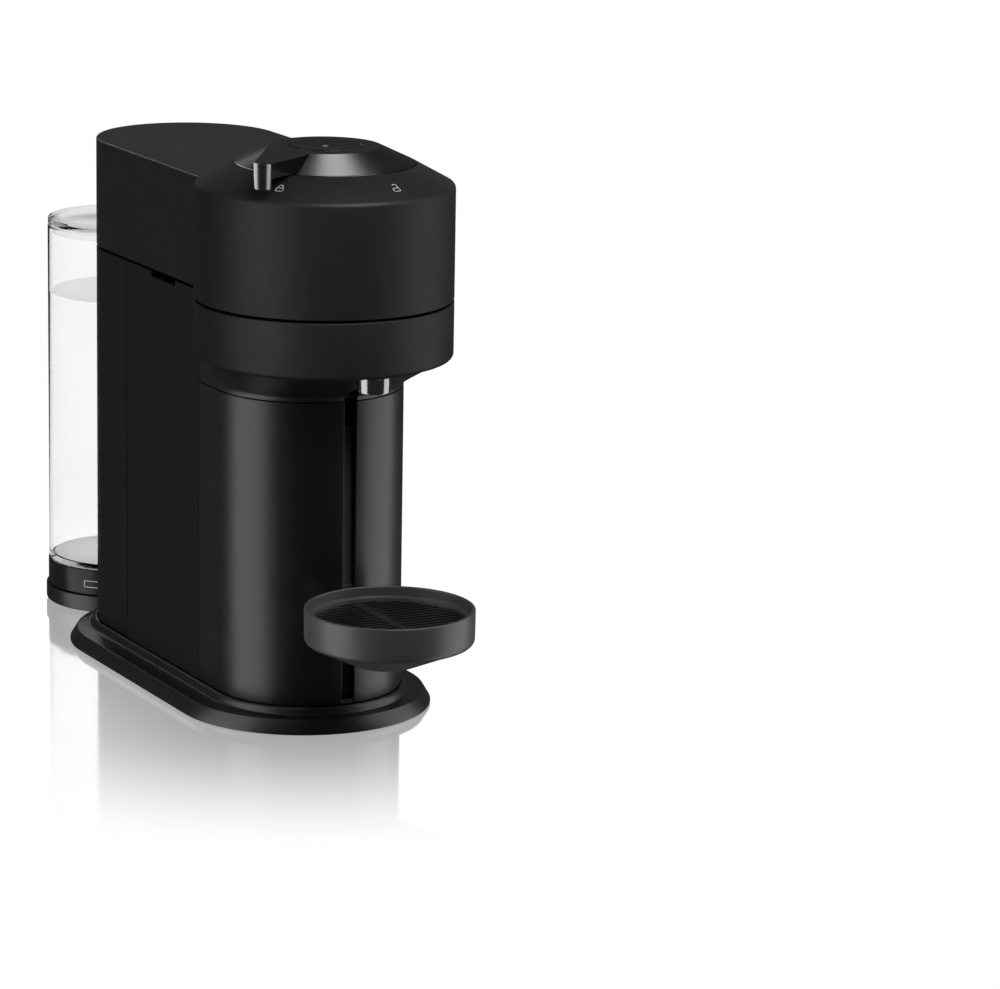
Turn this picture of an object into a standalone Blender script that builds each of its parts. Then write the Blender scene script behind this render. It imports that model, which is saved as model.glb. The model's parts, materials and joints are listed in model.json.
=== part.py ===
"""Pod coffee machine, as an assembly of separate pieces.

Metres, +Z up, the front of the machine faces -Y and its left side is -X. The origin is on the
ground in the middle of the machine's footprint. The machine is the same on both sides of X = 0,
apart from the lever, the control board and the cord gland.
"""

import math

import bmesh
import bpy
from mathutils import Matrix

# Driving dimensions
GAP = 0.0003
WALL = 0.0025
DEPTH_FRONT = 0.1262  # head axis to the front of the cup support
DEPTH_REAR = 0.3123  # head axis to the rear of the tank platform

# Places along Y, counted from the head axis
HEAD_Y = (DEPTH_FRONT - DEPTH_REAR) / 2
COLUMN_Y = HEAD_Y + 0.0192
BODY_REAR_Y = HEAD_Y + 0.1721
PLATE_FRONT_Y = HEAD_Y + 0.0233
PLATE_REAR_Y = HEAD_Y + 0.1650
TANK_Y = HEAD_Y + 0.2684
SUPPORT_Y = HEAD_Y - 0.0807
SPOUT_Y = HEAD_Y - 0.0596
FRONT_SEAM_Y = HEAD_Y + 0.0465
REAR_SEAM_Y = HEAD_Y + 0.1415
PIVOT_Y = HEAD_Y + 0.2220

# Heights
FOOT_TOP = 0.0010
PLATE_TOP = 0.0120
BODY_BOTTOM = 0.0124
BIN_TOP = 0.1650
NECK_BOTTOM = 0.1800
FLARE_FILLET = 0.0060
FLARE_ANGLE = 47.0  # degrees from vertical
COLLAR_BOTTOM = 0.19895
COLLAR_TOP = 0.2297
LID_BOTTOM = 0.2312
PIVOT_Z = 0.2315
CAP_TOP = 0.29225
RIM_Z = 0.2923
RING_BASE_Z = 0.3041
RING_TOP_Z = 0.3127
BUTTON_TOP_Z = 0.3132

# Radii and widths
HEAD_R = 0.0699
BODY_R = 0.05224
NECK_TOP_R = 0.0640
PLATE_R = 0.0710
PLATE_EDGE_R = 0.0660
RING_BASE_R = 0.04825
RING_TOP_R = 0.0299
BUTTON_R = 0.0194
SPOUT_R = 0.0088
SLOT_WIDTH = 0.0076
SUPPORT_R = 0.0455
SUPPORT_TOP = 0.0739
TANK_R = 0.0421
TANK_BASE_R = 0.0426
TANK_WALL = 0.0020
TANK_FLOOR = 0.0263
TANK_TOP = 0.2260
TANK_LID_TOP = 0.2310
PLATFORM_R = 0.0439
PLATFORM_TOP = 0.0109
LEVER_ANGLE = 55.0  # degrees from straight ahead towards the left side

ROUND = 44  # steps of the large turned pieces
FINE = 20  # steps of the small turned pieces

MATERIALS = {
    "black_matte": ((0.012, 0.012, 0.013), 0.55, 0.0),
    "black_gloss": ((0.008, 0.008, 0.009), 0.18, 0.0),
    "support_grey": ((0.045, 0.045, 0.047), 0.42, 0.0),
    "grid_black": ((0.006, 0.006, 0.006), 0.40, 0.0),
    "dark_chrome": ((0.12, 0.12, 0.13), 0.14, 1.0),
    "chrome": ((0.62, 0.62, 0.64), 0.08, 1.0),
    "clear_plastic": ((0.85, 0.88, 0.90), 0.06, 0.0),
    "tank_base_dark": ((0.02, 0.02, 0.022), 0.25, 0.0),
    "rubber": ((0.015, 0.015, 0.015), 0.85, 0.0),
    "frame_plastic": ((0.08, 0.08, 0.085), 0.60, 0.0),
    "hose_silicone": ((0.60, 0.60, 0.58), 0.50, 0.0),
    "steel": ((0.50, 0.50, 0.51), 0.30, 1.0),
    "aluminium": ((0.55, 0.56, 0.57), 0.40, 1.0),
    "circuit_green": ((0.02, 0.10, 0.05), 0.50, 0.0),
}


# ---------------------------------------------------------------- helpers


def clear_scene():
    for obj in list(bpy.data.objects):
        bpy.data.objects.remove(obj, do_unlink=True)


def material(name):
    """The named Principled material, made on its first use."""
    made = bpy.data.materials.get(name)
    if made:
        return made
    color, roughness, metallic = MATERIALS[name]
    made = bpy.data.materials.new(name)
    made.use_nodes = True
    shader = made.node_tree.nodes["Principled BSDF"]
    shader.inputs["Base Color"].default_value = (*color, 1.0)
    shader.inputs["Roughness"].default_value = roughness
    shader.inputs["Metallic"].default_value = metallic
    if name == "clear_plastic":
        shader.inputs["Transmission Weight"].default_value = 1.0
    return made


def finish(bm, name, finish_name, location=(0, 0, 0)):
    """An object from a bmesh, with its normals facing out."""
    bmesh.ops.recalc_face_normals(bm, faces=bm.faces)
    mesh = bpy.data.meshes.new(name)
    bm.to_mesh(mesh)
    bm.free()
    mesh.shade_smooth()
    mesh.set_sharp_from_angle(angle=math.radians(32))
    if finish_name:
        mesh.materials.append(material(finish_name))
    obj = bpy.data.objects.new(name, mesh)
    obj.location = location
    bpy.context.scene.collection.objects.link(obj)
    return obj


def loft(name, finish_name, rings, location=(0, 0, 0)):
    """A closed solid through rings of points, each with the same count, with flat ends."""
    bm = bmesh.new()
    loops = [[bm.verts.new(point) for point in ring] for ring in rings]
    count = len(loops[0])
    for low, high in zip(loops, loops[1:]):
        for i in range(count):
            j = (i + 1) % count
            bm.faces.new((low[i], low[j], high[j], high[i]))
    bm.faces.new(loops[0])
    bm.faces.new(loops[-1])
    return finish(bm, name, finish_name, location)


def turned(name, finish_name, profile, x=0.0, y=0.0, steps=FINE):
    """A closed (radius, height) profile turned about the vertical through (x, y)."""
    bm = bmesh.new()
    loops = []
    for radius, height in profile:
        if radius == 0:
            loops.append([bm.verts.new((0, 0, height))] * steps)
            continue
        angles = [math.tau * i / steps for i in range(steps)]
        loops.append([bm.verts.new((radius * math.cos(a), radius * math.sin(a), height)) for a in angles])
    on_axis = profile[0][0] == 0 and profile[-1][0] == 0
    pairs = list(zip(loops, loops[1:])) + ([] if on_axis else [(loops[-1], loops[0])])
    for first, second in pairs:
        for i in range(steps):
            j = (i + 1) % steps
            corners = [first[i], first[j], second[j], second[i]]
            bm.faces.new(list(dict.fromkeys(corners)))
    return finish(bm, name, finish_name, (x, y, 0))


def prism(name, finish_name, outline, bottom, top):
    return loft(name, finish_name, [[(x, y, z) for x, y in outline] for z in (bottom, top)])


def box(name, finish_name, low, high):
    outline = [(low[0], low[1]), (high[0], low[1]), (high[0], high[1]), (low[0], high[1])]
    return prism(name, finish_name, outline, low[2], high[2])


def rod(name, finish_name, radius, start, end, steps=FINE):
    """A round bar between two points."""
    bm = bmesh.new()
    length = math.dist(start, end)
    bmesh.ops.create_cone(bm, cap_ends=True, segments=steps, radius1=radius, radius2=radius, depth=length)
    direction = [b - a for a, b in zip(start, end)]
    turn = Matrix.Identity(3)
    if abs(direction[0]) > length / 2:
        turn = Matrix.Rotation(math.pi / 2, 3, "Y")
    elif abs(direction[1]) > length / 2:
        turn = Matrix.Rotation(math.pi / 2, 3, "X")
    bmesh.ops.rotate(bm, verts=bm.verts, matrix=turn)
    middle = [(a + b) / 2 for a, b in zip(start, end)]
    return finish(bm, name, finish_name, middle)


def hose(name, points, radius=0.0026):
    """A silicone hose along a smooth path through the given points."""
    curve = bpy.data.curves.new(name, "CURVE")
    curve.dimensions = "3D"
    curve.bevel_depth = radius
    curve.bevel_resolution = 2
    curve.use_fill_caps = True
    path = smooth_path(points, 3)
    spline = curve.splines.new("POLY")
    spline.points.add(len(path) - 1)
    for point, place in zip(spline.points, path):
        point.co = (*place, 1.0)
    curve.materials.append(material("hose_silicone"))
    obj = bpy.data.objects.new(name, curve)
    bpy.context.scene.collection.objects.link(obj)
    return obj


def smooth_path(points, steps):
    """Points along a Catmull-Rom curve through the given ones."""
    path = []
    ends = [points[0], *points, points[-1]]
    for a, b, c, d in zip(ends, ends[1:], ends[2:], ends[3:]):
        for i in range(steps):
            t = i / steps
            weights = (
                -0.5 * t + t * t - 0.5 * t**3,
                1 - 2.5 * t * t + 1.5 * t**3,
                0.5 * t + 2 * t * t - 1.5 * t**3,
                -0.5 * t * t + 0.5 * t**3,
            )
            path.append([sum(w * p[k] for w, p in zip(weights, (a, b, c, d))) for k in range(3)])
    return [*path, list(points[-1])]


def change(obj, operation, other):
    """Cuts or joins another mesh, which stays in the file as a hidden helper."""
    other.hide_render = True
    other.display_type = "WIRE"
    modifier = obj.modifiers.new(other.name, "BOOLEAN")
    modifier.operation = operation
    modifier.solver = "EXACT"
    modifier.object = other
    return obj


def cut(obj, *cutters):
    for cutter in cutters:
        change(obj, "DIFFERENCE", cutter)
    return obj


def join(obj, *others):
    for other in others:
        change(obj, "UNION", other)
    return obj


def cylinder(name, radius, bottom, top, x=0.0, y=0.0, steps=FINE):
    """A plain helper cylinder for cutting."""
    return turned(name, None, [(0, top), (radius, top), (radius, bottom), (0, bottom)], x, y, steps)


def arc(y, radius, start, end, steps, x=0.0):
    """Points of an arc in plan, with angles in degrees from +X."""
    angles = [math.radians(start + (end - start) * i / steps) for i in range(steps + 1)]
    return [(x + radius * math.cos(a), y + radius * math.sin(a)) for a in angles]


def stadium(radius, front_y, rear_y, steps=16):
    return arc(front_y, radius, -180, 0, steps) + arc(rear_y, radius, 0, 180, steps)


def front_half(radius, centre_y, back_y, steps=20):
    """A flat-backed outline with a half-round front."""
    return [(-radius, back_y), *arc(centre_y, radius, -180, 0, steps), (radius, back_y)]


def rear_half(radius, centre_y, front_y, steps=20):
    """A flat-fronted outline with a half-round rear."""
    return [(radius, front_y), *arc(centre_y, radius, 0, 180, steps), (-radius, front_y)]


def joint_empty(name, place, parent=None, parent_place=(0, 0, 0)):
    """An empty on a joint's axis. What it carries is parented to it."""
    empty = bpy.data.objects.new(name, None)
    empty.empty_display_size = 0.02
    empty.location = [a - b for a, b in zip(place, parent_place)] if parent else place
    empty.parent = parent
    bpy.context.scene.collection.objects.link(empty)
    return empty


def carry(empty, place, *objects):
    """Parents objects to an empty that stands at a world place, and leaves them where they are."""
    for obj in objects:
        obj.parent = empty
        obj.matrix_parent_inverse = Matrix.Translation(place).inverted()


def cone_height(radius):
    """Height of the head's conical top at a radius."""
    slope = (RING_BASE_Z - RIM_Z) / (HEAD_R - RING_BASE_R)
    return RIM_Z + (HEAD_R - radius) * slope


# ---------------------------------------------------------------- base and body


def make_base_plate():
    """The flared plate, whose rim follows its own outline and whose bead follows the body's."""
    bottom = FOOT_TOP + GAP
    sections = [
        (0.0694, bottom, 0.0),
        (0.0707, 0.0020, 0.0),
        (PLATE_R, 0.0030, 0.0),
        (PLATE_EDGE_R, 0.0079, 0.0),
        (0.0655, 0.0081, 0.0),
        (0.0600, 0.0084, 0.35),
        (0.0560, 0.0090, 0.75),
        (0.0537, 0.0102, 1.0),
        (0.0529, 0.0115, 1.0),
        (0.0522, PLATE_TOP, 1.0),
    ]
    rings = []
    for radius, height, share in sections:
        front = PLATE_FRONT_Y + (COLUMN_Y - PLATE_FRONT_Y) * share
        rear = PLATE_REAR_Y + (BODY_REAR_Y - PLATE_REAR_Y) * share
        rings.append([(x, y, height) for x, y in stadium(radius, front, rear)])
    plate = loft("base_plate", "black_gloss", rings)
    profile = [
        (0, PLATFORM_TOP),
        (PLATFORM_R - 0.0006, PLATFORM_TOP),
        (PLATFORM_R, PLATFORM_TOP - 0.0006),
        (PLATFORM_R, 0.0024),
        (PLATFORM_R - 0.0010, bottom),
        (0, bottom),
    ]
    platform = turned("platform_helper", None, profile, 0, TANK_Y, 32)
    return join(plate, platform)


def make_feet():
    places = {
        "foot_front_left": (-0.045, HEAD_Y + 0.010),
        "foot_front_right": (0.045, HEAD_Y + 0.010),
        "foot_rear_left": (-0.045, HEAD_Y + 0.180),
        "foot_rear_right": (0.045, HEAD_Y + 0.180),
        "foot_tank": (0.0, TANK_Y + 0.022),
    }
    radius = 0.0070
    profile = [(0, FOOT_TOP), (radius, FOOT_TOP), (radius - 0.0006, 0), (0, 0)]
    for name, (x, y) in places.items():
        turned(name, "rubber", profile, x, y, 20)


SCREW_PLACES = [(x, HEAD_Y + y) for y in (0.105, 0.200) for x in (-0.030, 0.030)]


def make_chassis(plate):
    """Floor, bulkhead and deck in one moulding, with the holes of its four screws."""
    half = BODY_R - WALL - 0.0012
    floor_top = BODY_BOTTOM + 0.0026
    front = HEAD_Y + 0.0920
    floor_outline = rear_half(half, BODY_REAR_Y, front, 20)
    chassis = prism("chassis", "frame_plastic", floor_outline, BODY_BOTTOM, floor_top)
    low = (-half, front, BODY_BOTTOM + 0.0004)
    bulkhead = box("bulkhead_helper", None, low, (half, front + 0.0030, 0.1895))
    deck_outline = rear_half(half - 0.0006, BODY_REAR_Y, HEAD_Y + 0.0740, 20)
    deck = prism("deck_helper", None, deck_outline, 0.1875, 0.1900)
    join(chassis, bulkhead, deck)
    shank, head = 0.0015, 0.0030
    for number, (x, y) in enumerate(SCREW_PLACES, 1):
        hole = cylinder(f"screw_hole_{number}", shank + GAP, 0.0050, floor_top + 0.002, x, y, 16)
        cut(plate, hole)
        cut(chassis, hole)
        low, mid, top = 0.0056, floor_top + GAP, floor_top + 0.0022
        profile = [(0, top), (head - 0.0006, top), (head, top - 0.0008), (head, mid)]
        profile += [(shank, mid), (shank, low), (0, low)]
        turned(f"chassis_screw_{number}", "steel", profile, x, y, 16)


def make_side_panels(head_clearance):
    for side, name in ((-1, "side_panel_left"), (1, "side_panel_right")):
        inner, outer = sorted((side * (BODY_R - WALL), side * BODY_R))
        panel = box(
            name,
            "black_matte",
            (inner, FRONT_SEAM_Y + GAP, BODY_BOTTOM),
            (outer, REAR_SEAM_Y - GAP, COLLAR_TOP),
        )
        notch = box(
            f"finger_notch_{name}",
            None,
            (inner - 0.002, HEAD_Y + 0.0770, COLLAR_TOP - 0.0030),
            (outer + 0.002, HEAD_Y + 0.1090, COLLAR_TOP + 0.002),
        )
        cut(panel, head_clearance, notch)


def make_rear_shell():
    outline = rear_half(BODY_R, BODY_REAR_Y, REAR_SEAM_Y)
    shell = prism("rear_shell", "black_matte", outline, BODY_BOTTOM, COLLAR_TOP)
    inside = rear_half(BODY_R - WALL, BODY_REAR_Y, REAR_SEAM_Y - 0.01)
    hollow = prism("rear_hollow", None, inside, 0, COLLAR_TOP + 0.01)
    notch = box("hinge_notch", None, (-0.0135, BODY_REAR_Y + 0.03, 0.2255), (0.0135, TANK_Y, 0.24))
    gland_hole = rod("gland_hole", None, 0.0053, (0.030, BODY_REAR_Y + 0.020, 0.030), (0.030, TANK_Y, 0.030))
    return cut(shell, hollow, notch, gland_hole)


def make_cord_gland():
    y = BODY_REAR_Y + math.sqrt(BODY_R**2 - 0.030**2)
    gland = rod("cord_gland", "rubber", 0.0050, (0.030, y - 0.010, 0.030), (0.030, y + 0.0060, 0.030), 20)
    flange = rod("gland_flange", None, 0.0070, (0.030, y + 0.0046, 0.030), (0.030, y + 0.0062, 0.030), 20)
    hole = rod("gland_bore", None, 0.0032, (0.030, y - 0.020, 0.030), (0.030, y + 0.020, 0.030), 20)
    join(gland, flange)
    cut(gland, hole)


# ---------------------------------------------------------------- neck, collar and brewing unit


def neck_outline(share):
    """The column's outline, pushed out from the head's axis towards the neck's top radius by a share."""
    back = FRONT_SEAM_Y - GAP
    straight = [COLUMN_Y + (back - COLUMN_Y) * i / 3 for i in range(4)]
    left = [(-BODY_R, y) for y in reversed(straight)]
    outline = left + arc(COLUMN_Y, BODY_R, -180, 0, 24)[1:-1] + [(-x, y) for x, y in reversed(left)]
    pushed = []
    for x, y in outline:
        reach = math.hypot(x, y - HEAD_Y)
        factor = 1 + share * max(0, NECK_TOP_R / reach - 1)
        pushed.append((x * factor, HEAD_Y + (y - HEAD_Y) * factor))
    return pushed


def make_neck(head_hole, spout_hole):
    """A hollow flare: a rounded start at the column's outline, then a straight slope up to the collar."""
    top = COLLAR_BOTTOM - 0.0004
    slope = math.radians(FLARE_ANGLE)
    slope_start = NECK_BOTTOM + FLARE_FILLET * math.sin(slope)
    spread = FLARE_FILLET * (1 - math.cos(slope)) + (top - slope_start) * math.tan(slope)
    rings = []
    steps = 5
    for i in range(steps + 1):
        turn = slope * i / steps
        height = NECK_BOTTOM + FLARE_FILLET * math.sin(turn)
        share = FLARE_FILLET * (1 - math.cos(turn)) / spread
        rings.append([(x, y, height) for x, y in neck_outline(share)])
    rings.append([(x, y, top) for x, y in neck_outline(1)])
    neck = loft("neck", "black_gloss", rings)
    inside = front_half(BODY_R - 0.0040, COLUMN_Y, FRONT_SEAM_Y - 0.0040)
    hollow = prism("neck_hollow", None, inside, NECK_BOTTOM - 0.01, 0.1955)
    slot = box(
        "neck_slot",
        None,
        (-SLOT_WIDTH / 2, SPOUT_Y, NECK_BOTTOM - 0.002),
        (SLOT_WIDTH / 2, COLUMN_Y - BODY_R + 0.0060, 0.1925),
    )
    return cut(neck, hollow, head_hole, spout_hole, slot)


def make_collar():
    floor_top = COLLAR_BOTTOM + 0.0040
    hub = 0.0342
    profile = [
        (hub, COLLAR_BOTTOM),
        (0.0660, COLLAR_BOTTOM),
        (0.0682, COLLAR_BOTTOM + 0.0004),
        (0.0694, COLLAR_BOTTOM + 0.0014),
        (HEAD_R, COLLAR_BOTTOM + 0.0030),
        (HEAD_R, COLLAR_TOP),
        (0.0640, COLLAR_TOP),
        (0.0640, floor_top),
        (hub, floor_top),
    ]
    collar = turned("collar", "black_matte", profile, 0, HEAD_Y, ROUND)
    return cut(collar, cylinder("collar_spout_hole", 0.0073, 0.19, 0.21, 0, SPOUT_Y, 24))


def make_spout():
    bore, stem = 0.0040, 0.0070
    low, step, top = 0.1901, COLLAR_BOTTOM - GAP, 0.2030
    profile = [
        (bore, low),
        (SPOUT_R - 0.0010, low),
        (SPOUT_R, low + 0.0008),
        (SPOUT_R, step),
        (stem, step),
        (stem, top),
        (bore, top),
    ]
    turned("coffee_spout", "chrome", profile, 0, SPOUT_Y)


def make_brewing_unit():
    """Motor, shaft, capsule holder and the trough that gathers the coffee round it."""
    shaft = 0.0040
    motor = [
        (shaft + 0.0006, 0.1770),
        (0.0200, 0.1770),
        (0.0250, 0.1800),
        (0.0250, 0.1940),
        (0.0290, 0.1950),
        (0.0290, 0.1984),
        (shaft + 0.0006, 0.1984),
    ]
    turned("motor", "steel", motor, 0, HEAD_Y)
    rod = [(0, 0.2010), (shaft, 0.2010), (shaft, 0.1790), (0, 0.1790)]
    turned("drive_shaft", "steel", rod, 0, HEAD_Y, 20)
    ring = [(shaft + 0.0004, 0.1988), (0.0090, 0.1988), (0.0090, 0.2009), (shaft + 0.0004, 0.2009)]
    turned("shaft_bearing", "steel", ring, 0, HEAD_Y, 24)
    holder = [
        (0, 0.2013),
        (0.0120, 0.2013),
        (0.0200, 0.2040),
        (0.0285, 0.2130),
        (0.0310, 0.2255),
        (0.0330, 0.2262),
        (0.0330, 0.2292),
        (0.0290, 0.2292),
        (0.0278, 0.2270),
        (0.0258, 0.2142),
        (0.0185, 0.2066),
        (0.0110, 0.2045),
        (0, 0.2043),
    ]
    turned("capsule_holder", "steel", holder, 0, HEAD_Y, 28)
    low = COLLAR_BOTTOM + 0.0044
    trough = [
        (0.0355, low),
        (0.0625, low),
        (0.0625, 0.2240),
        (0.0608, 0.2240),
        (0.0608, low + 0.0018),
        (0.0372, low + 0.0018),
        (0.0372, 0.2200),
        (0.0355, 0.2200),
    ]
    collector = turned("coffee_collector", "frame_plastic", trough, 0, HEAD_Y, 32)
    cut(collector, cylinder("collector_outlet", 0.0030, 0.19, 0.207, 0, SPOUT_Y + 0.0022, 16))


def make_head_bracket():
    """The block on the deck that carries the collar from behind."""
    low, high = (-0.040, FRONT_SEAM_Y + 0.0005, 0.1903), (0.040, HEAD_Y + 0.0900, COLLAR_BOTTOM - GAP)
    box("head_bracket", "frame_plastic", low, high)


# ---------------------------------------------------------------- water system and electronics


def make_water_system():
    pump_y, pump_z = HEAD_Y + 0.140, 0.045
    pump = rod("pump", "steel", 0.0125, (-0.034, pump_y, pump_z), (0.034, pump_y, pump_z), 24)
    low = (-0.018, pump_y - 0.019, pump_z - 0.019)
    coil = box("pump_coil", None, low, (0.016, pump_y + 0.019, pump_z + 0.019))
    join(pump, coil)
    for side, name in ((-1, "pump_mount_left"), (1, "pump_mount_right")):
        low, high = sorted((side * 0.024, side * 0.030))
        mount = box(name, "rubber", (low, pump_y - 0.015, 0.0153), (high, pump_y + 0.015, pump_z + 0.015))
        cut(mount, rod(f"{name}_bore", None, 0.0129, (-0.05, pump_y, pump_z), (0.05, pump_y, pump_z), 24))
    block_y = HEAD_Y + 0.150
    block = box("thermoblock", "aluminium", (-0.032, block_y - 0.018, 0.090), (0.032, block_y + 0.018, 0.150))
    for number in range(4):
        z = 0.098 + 0.013 * number
        cut(
            block,
            box(
                f"block_groove_{number}",
                None,
                (-0.04, block_y + 0.014, z),
                (0.04, block_y + 0.03, z + 0.006),
            ),
        )
    can = [(0, 0.1565), (0.008, 0.1565), (0.008, 0.1503), (0, 0.1503)]
    turned("thermostat", "steel", can, 0.010, block_y, 24)
    meter = (-0.022, HEAD_Y + 0.190)
    can = [(0, 0.0310), (0.012, 0.0310), (0.012, 0.0180), (0, 0.0180)]
    turned("flow_meter", "frame_plastic", can, *meter, 24)
    hose(
        "hose_flow_meter_to_pump",
        [
            (-0.022, meter[1] - 0.0125, 0.0250),
            (-0.026, meter[1] - 0.020, 0.0256),
            (-0.040, pump_y + 0.026, 0.0340),
            (-0.0430, pump_y + 0.008, pump_z),
            (-0.0400, pump_y, pump_z),
            (-0.0346, pump_y, pump_z),
        ],
    )
    hose(
        "hose_pump_to_thermoblock",
        [
            (0.0350, pump_y, pump_z),
            (0.0395, pump_y, pump_z + 0.001),
            (0.0428, pump_y, pump_z + 0.012),
            (0.0425, pump_y + 0.003, 0.085),
            (0.0400, block_y, 0.100),
            (0.0325, block_y, 0.102),
        ],
    )
    hose(
        "hose_thermoblock_to_head",
        [
            (-0.0325, block_y, 0.138),
            (-0.0380, block_y, 0.139),
            (-0.0400, block_y - 0.006, 0.150),
            (-0.0400, block_y - 0.010, 0.175),
            (-0.0400, block_y - 0.010, 0.1870),
        ],
    )


def make_control_board():
    low_y, high_y = HEAD_Y + 0.100, HEAD_Y + 0.165
    board = box("control_board", "circuit_green", (0.0462, low_y, 0.072), (0.0478, high_y, 0.180))
    parts = [
        ("relay", (0.030, low_y + 0.010, 0.160), (0.0464, low_y + 0.030, 0.176)),
        ("capacitor", (0.034, low_y + 0.038, 0.156), (0.0464, low_y + 0.052, 0.176)),
    ]
    for name, low, high in parts:
        join(board, box(f"board_{name}", None, low, high))


def make_tank_coupling():
    """The seat on the platform that opens the tank's valve."""
    low, top = PLATFORM_TOP + GAP, 0.0180
    profile = [(0.0030, low), (0.0110, low), (0.0100, top), (0.0030, top)]
    turned("tank_coupling", "frame_plastic", profile, 0, TANK_Y, 24)


# ---------------------------------------------------------------- capsule container and cup support


def make_container():
    front = prism(
        "container_front",
        "black_gloss",
        front_half(BODY_R, COLUMN_Y, FRONT_SEAM_Y - GAP),
        BODY_BOTTOM,
        NECK_BOTTOM - 0.0004,
    )
    inside = front_half(BODY_R - WALL, COLUMN_Y, FRONT_SEAM_Y + 0.01)
    hollow = prism("front_hollow", None, inside, BODY_BOTTOM + 0.0026, NECK_BOTTOM + 0.01)
    low = (-SLOT_WIDTH / 2, COLUMN_Y - BODY_R - 0.01, BODY_BOTTOM + 0.0026)
    high = (SLOT_WIDTH / 2, COLUMN_Y - BODY_R + 0.02, NECK_BOTTOM + 0.005)
    cut(front, hollow, box("guide_slot", None, low, high))
    radius = BODY_R - WALL - 0.0037
    back, floor = HEAD_Y + 0.0860, BODY_BOTTOM + 0.0029
    bin_ = prism("capsule_bin", "frame_plastic", front_half(radius, COLUMN_Y, back, 20), floor, BIN_TOP)
    inside = front_half(radius - 0.002, COLUMN_Y, back - 0.002, 20)
    cut(bin_, prism("bin_hollow", None, inside, floor + 0.002, BIN_TOP + 0.01))
    return front, bin_


def make_cup_support():
    """A round dish with an inner ledge, a conical underside and a carriage behind the slot."""
    top, ledge = SUPPORT_TOP, SUPPORT_TOP - 0.0054
    profile = [
        (0, 0.0625),
        (0.0390, 0.0625),
        (0.0410, 0.0645),
        (0.0410, ledge),
        (0.0436, ledge),
        (0.0436, top - 0.0004),
        (0.0440, top),
        (0.0450, top),
        (SUPPORT_R, top - 0.0006),
        (SUPPORT_R, 0.0622),
        (0.0446, 0.0602),
        (0.0425, 0.0588),
        (0, 0.0588),
    ]
    dish = turned("cup_support", "support_grey", profile, 0, SUPPORT_Y, 36)
    rings = []
    for y, radius, height in ((0.0, 0.0410, 0.0600), (0.0, 0.0410, 0.0586), (0.0046, 0.0155, 0.0455)):
        rings.append([(px, py, height) for px, py in arc(y, radius, 0, 360 * 31 / 32, 31)])
    foot = loft("support_foot", None, rings, (0, SUPPORT_Y, 0))
    slot_y = COLUMN_Y - BODY_R
    half = SLOT_WIDTH / 2 - 0.0004
    stem = box("support_stem", None, (-half, SUPPORT_Y + 0.0442, 0.0535), (half, slot_y + 0.0044, 0.0700))
    low = (-0.0080, slot_y + 0.0037, 0.0500)
    carriage = box("support_carriage", None, low, (0.0080, slot_y + 0.0056, 0.0780))
    return join(dish, foot, stem, carriage)


def make_drip_grid():
    """A round plate with slots between its bars, and a bar down its middle."""
    low, top, radius = SUPPORT_TOP - 0.0051, SUPPORT_TOP - 0.0033, 0.0432
    profile = [(0, top), (radius - 0.0005, top), (radius, top - 0.0005), (radius, low), (0, low)]
    grid = turned("drip_grid", "grid_black", profile, 0, SUPPORT_Y, 36)
    bm = bmesh.new()
    pitch, width = 0.0080, 0.0040
    for side in (-1, 1):
        for number in range(5):
            y = pitch * (number - 2)
            reach = math.sqrt((radius - 0.005) ** 2 - (abs(y) + width / 2) ** 2)
            ends = sorted((side * 0.0030, side * reach))
            made = bmesh.ops.create_cube(bm, size=1.0)["verts"]
            bmesh.ops.scale(bm, verts=made, vec=(ends[1] - ends[0], width, 0.01))
            bmesh.ops.translate(bm, verts=made, vec=(sum(ends) / 2, y, top))
    return cut(grid, finish(bm, "grid_slots", None, (0, SUPPORT_Y, 0)))


# ---------------------------------------------------------------- water tank


def make_tank():
    inner = TANK_R - TANK_WALL
    hole = 0.0070
    profile = [
        (hole, TANK_FLOOR),
        (TANK_R - 0.0008, TANK_FLOOR),
        (TANK_R, TANK_FLOOR + 0.0008),
        (TANK_R, TANK_TOP),
        (inner, TANK_TOP),
        (inner, TANK_FLOOR + 0.0040),
        (inner - 0.0015, TANK_FLOOR + 0.0025),
        (hole, TANK_FLOOR + 0.0025),
    ]
    tank = turned("tank", "clear_plastic", profile, 0, TANK_Y, ROUND)
    low = PLATFORM_TOP + 0.0004
    base = [
        (0.0125, low + 0.0100),
        (0.0370, low + 0.0100),
        (0.0370, low),
        (TANK_BASE_R - 0.0006, low),
        (TANK_BASE_R, low + 0.0006),
        (TANK_BASE_R, TANK_FLOOR - GAP),
        (0.0125, TANK_FLOOR - GAP),
    ]
    foot = turned("tank_base", "tank_base_dark", base, 0, TANK_Y, 32)
    valve = [
        (0, 0.0330),
        (0.0050, 0.0330),
        (0.0090, 0.0310),
        (0.0090, TANK_FLOOR + 0.0028),
        (0.0066, TANK_FLOOR + 0.0028),
        (0.0066, 0.0190),
        (0, 0.0190),
    ]
    stem = turned("tank_valve", "rubber", valve, 0, TANK_Y, 24)
    rim = TANK_TOP + 0.0004
    lid = [
        (0, 0.2266),
        (inner - 0.0018, 0.2266),
        (inner - 0.0018, 0.2225),
        (inner - 0.0004, 0.2225),
        (inner - 0.0004, rim),
        (TANK_R - 0.0002, rim),
        (TANK_R - 0.0002, TANK_LID_TOP - 0.0008),
        (TANK_R - 0.0010, TANK_LID_TOP),
        (inner - 0.0038, TANK_LID_TOP),
        (inner - 0.0043, TANK_LID_TOP - 0.0006),
        (inner - 0.0043, 0.2284),
        (0, 0.2284),
    ]
    cover = turned("tank_lid", "clear_plastic", lid, 0, TANK_Y, ROUND)
    return (tank, foot, stem), cover


# ---------------------------------------------------------------- lid


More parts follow.
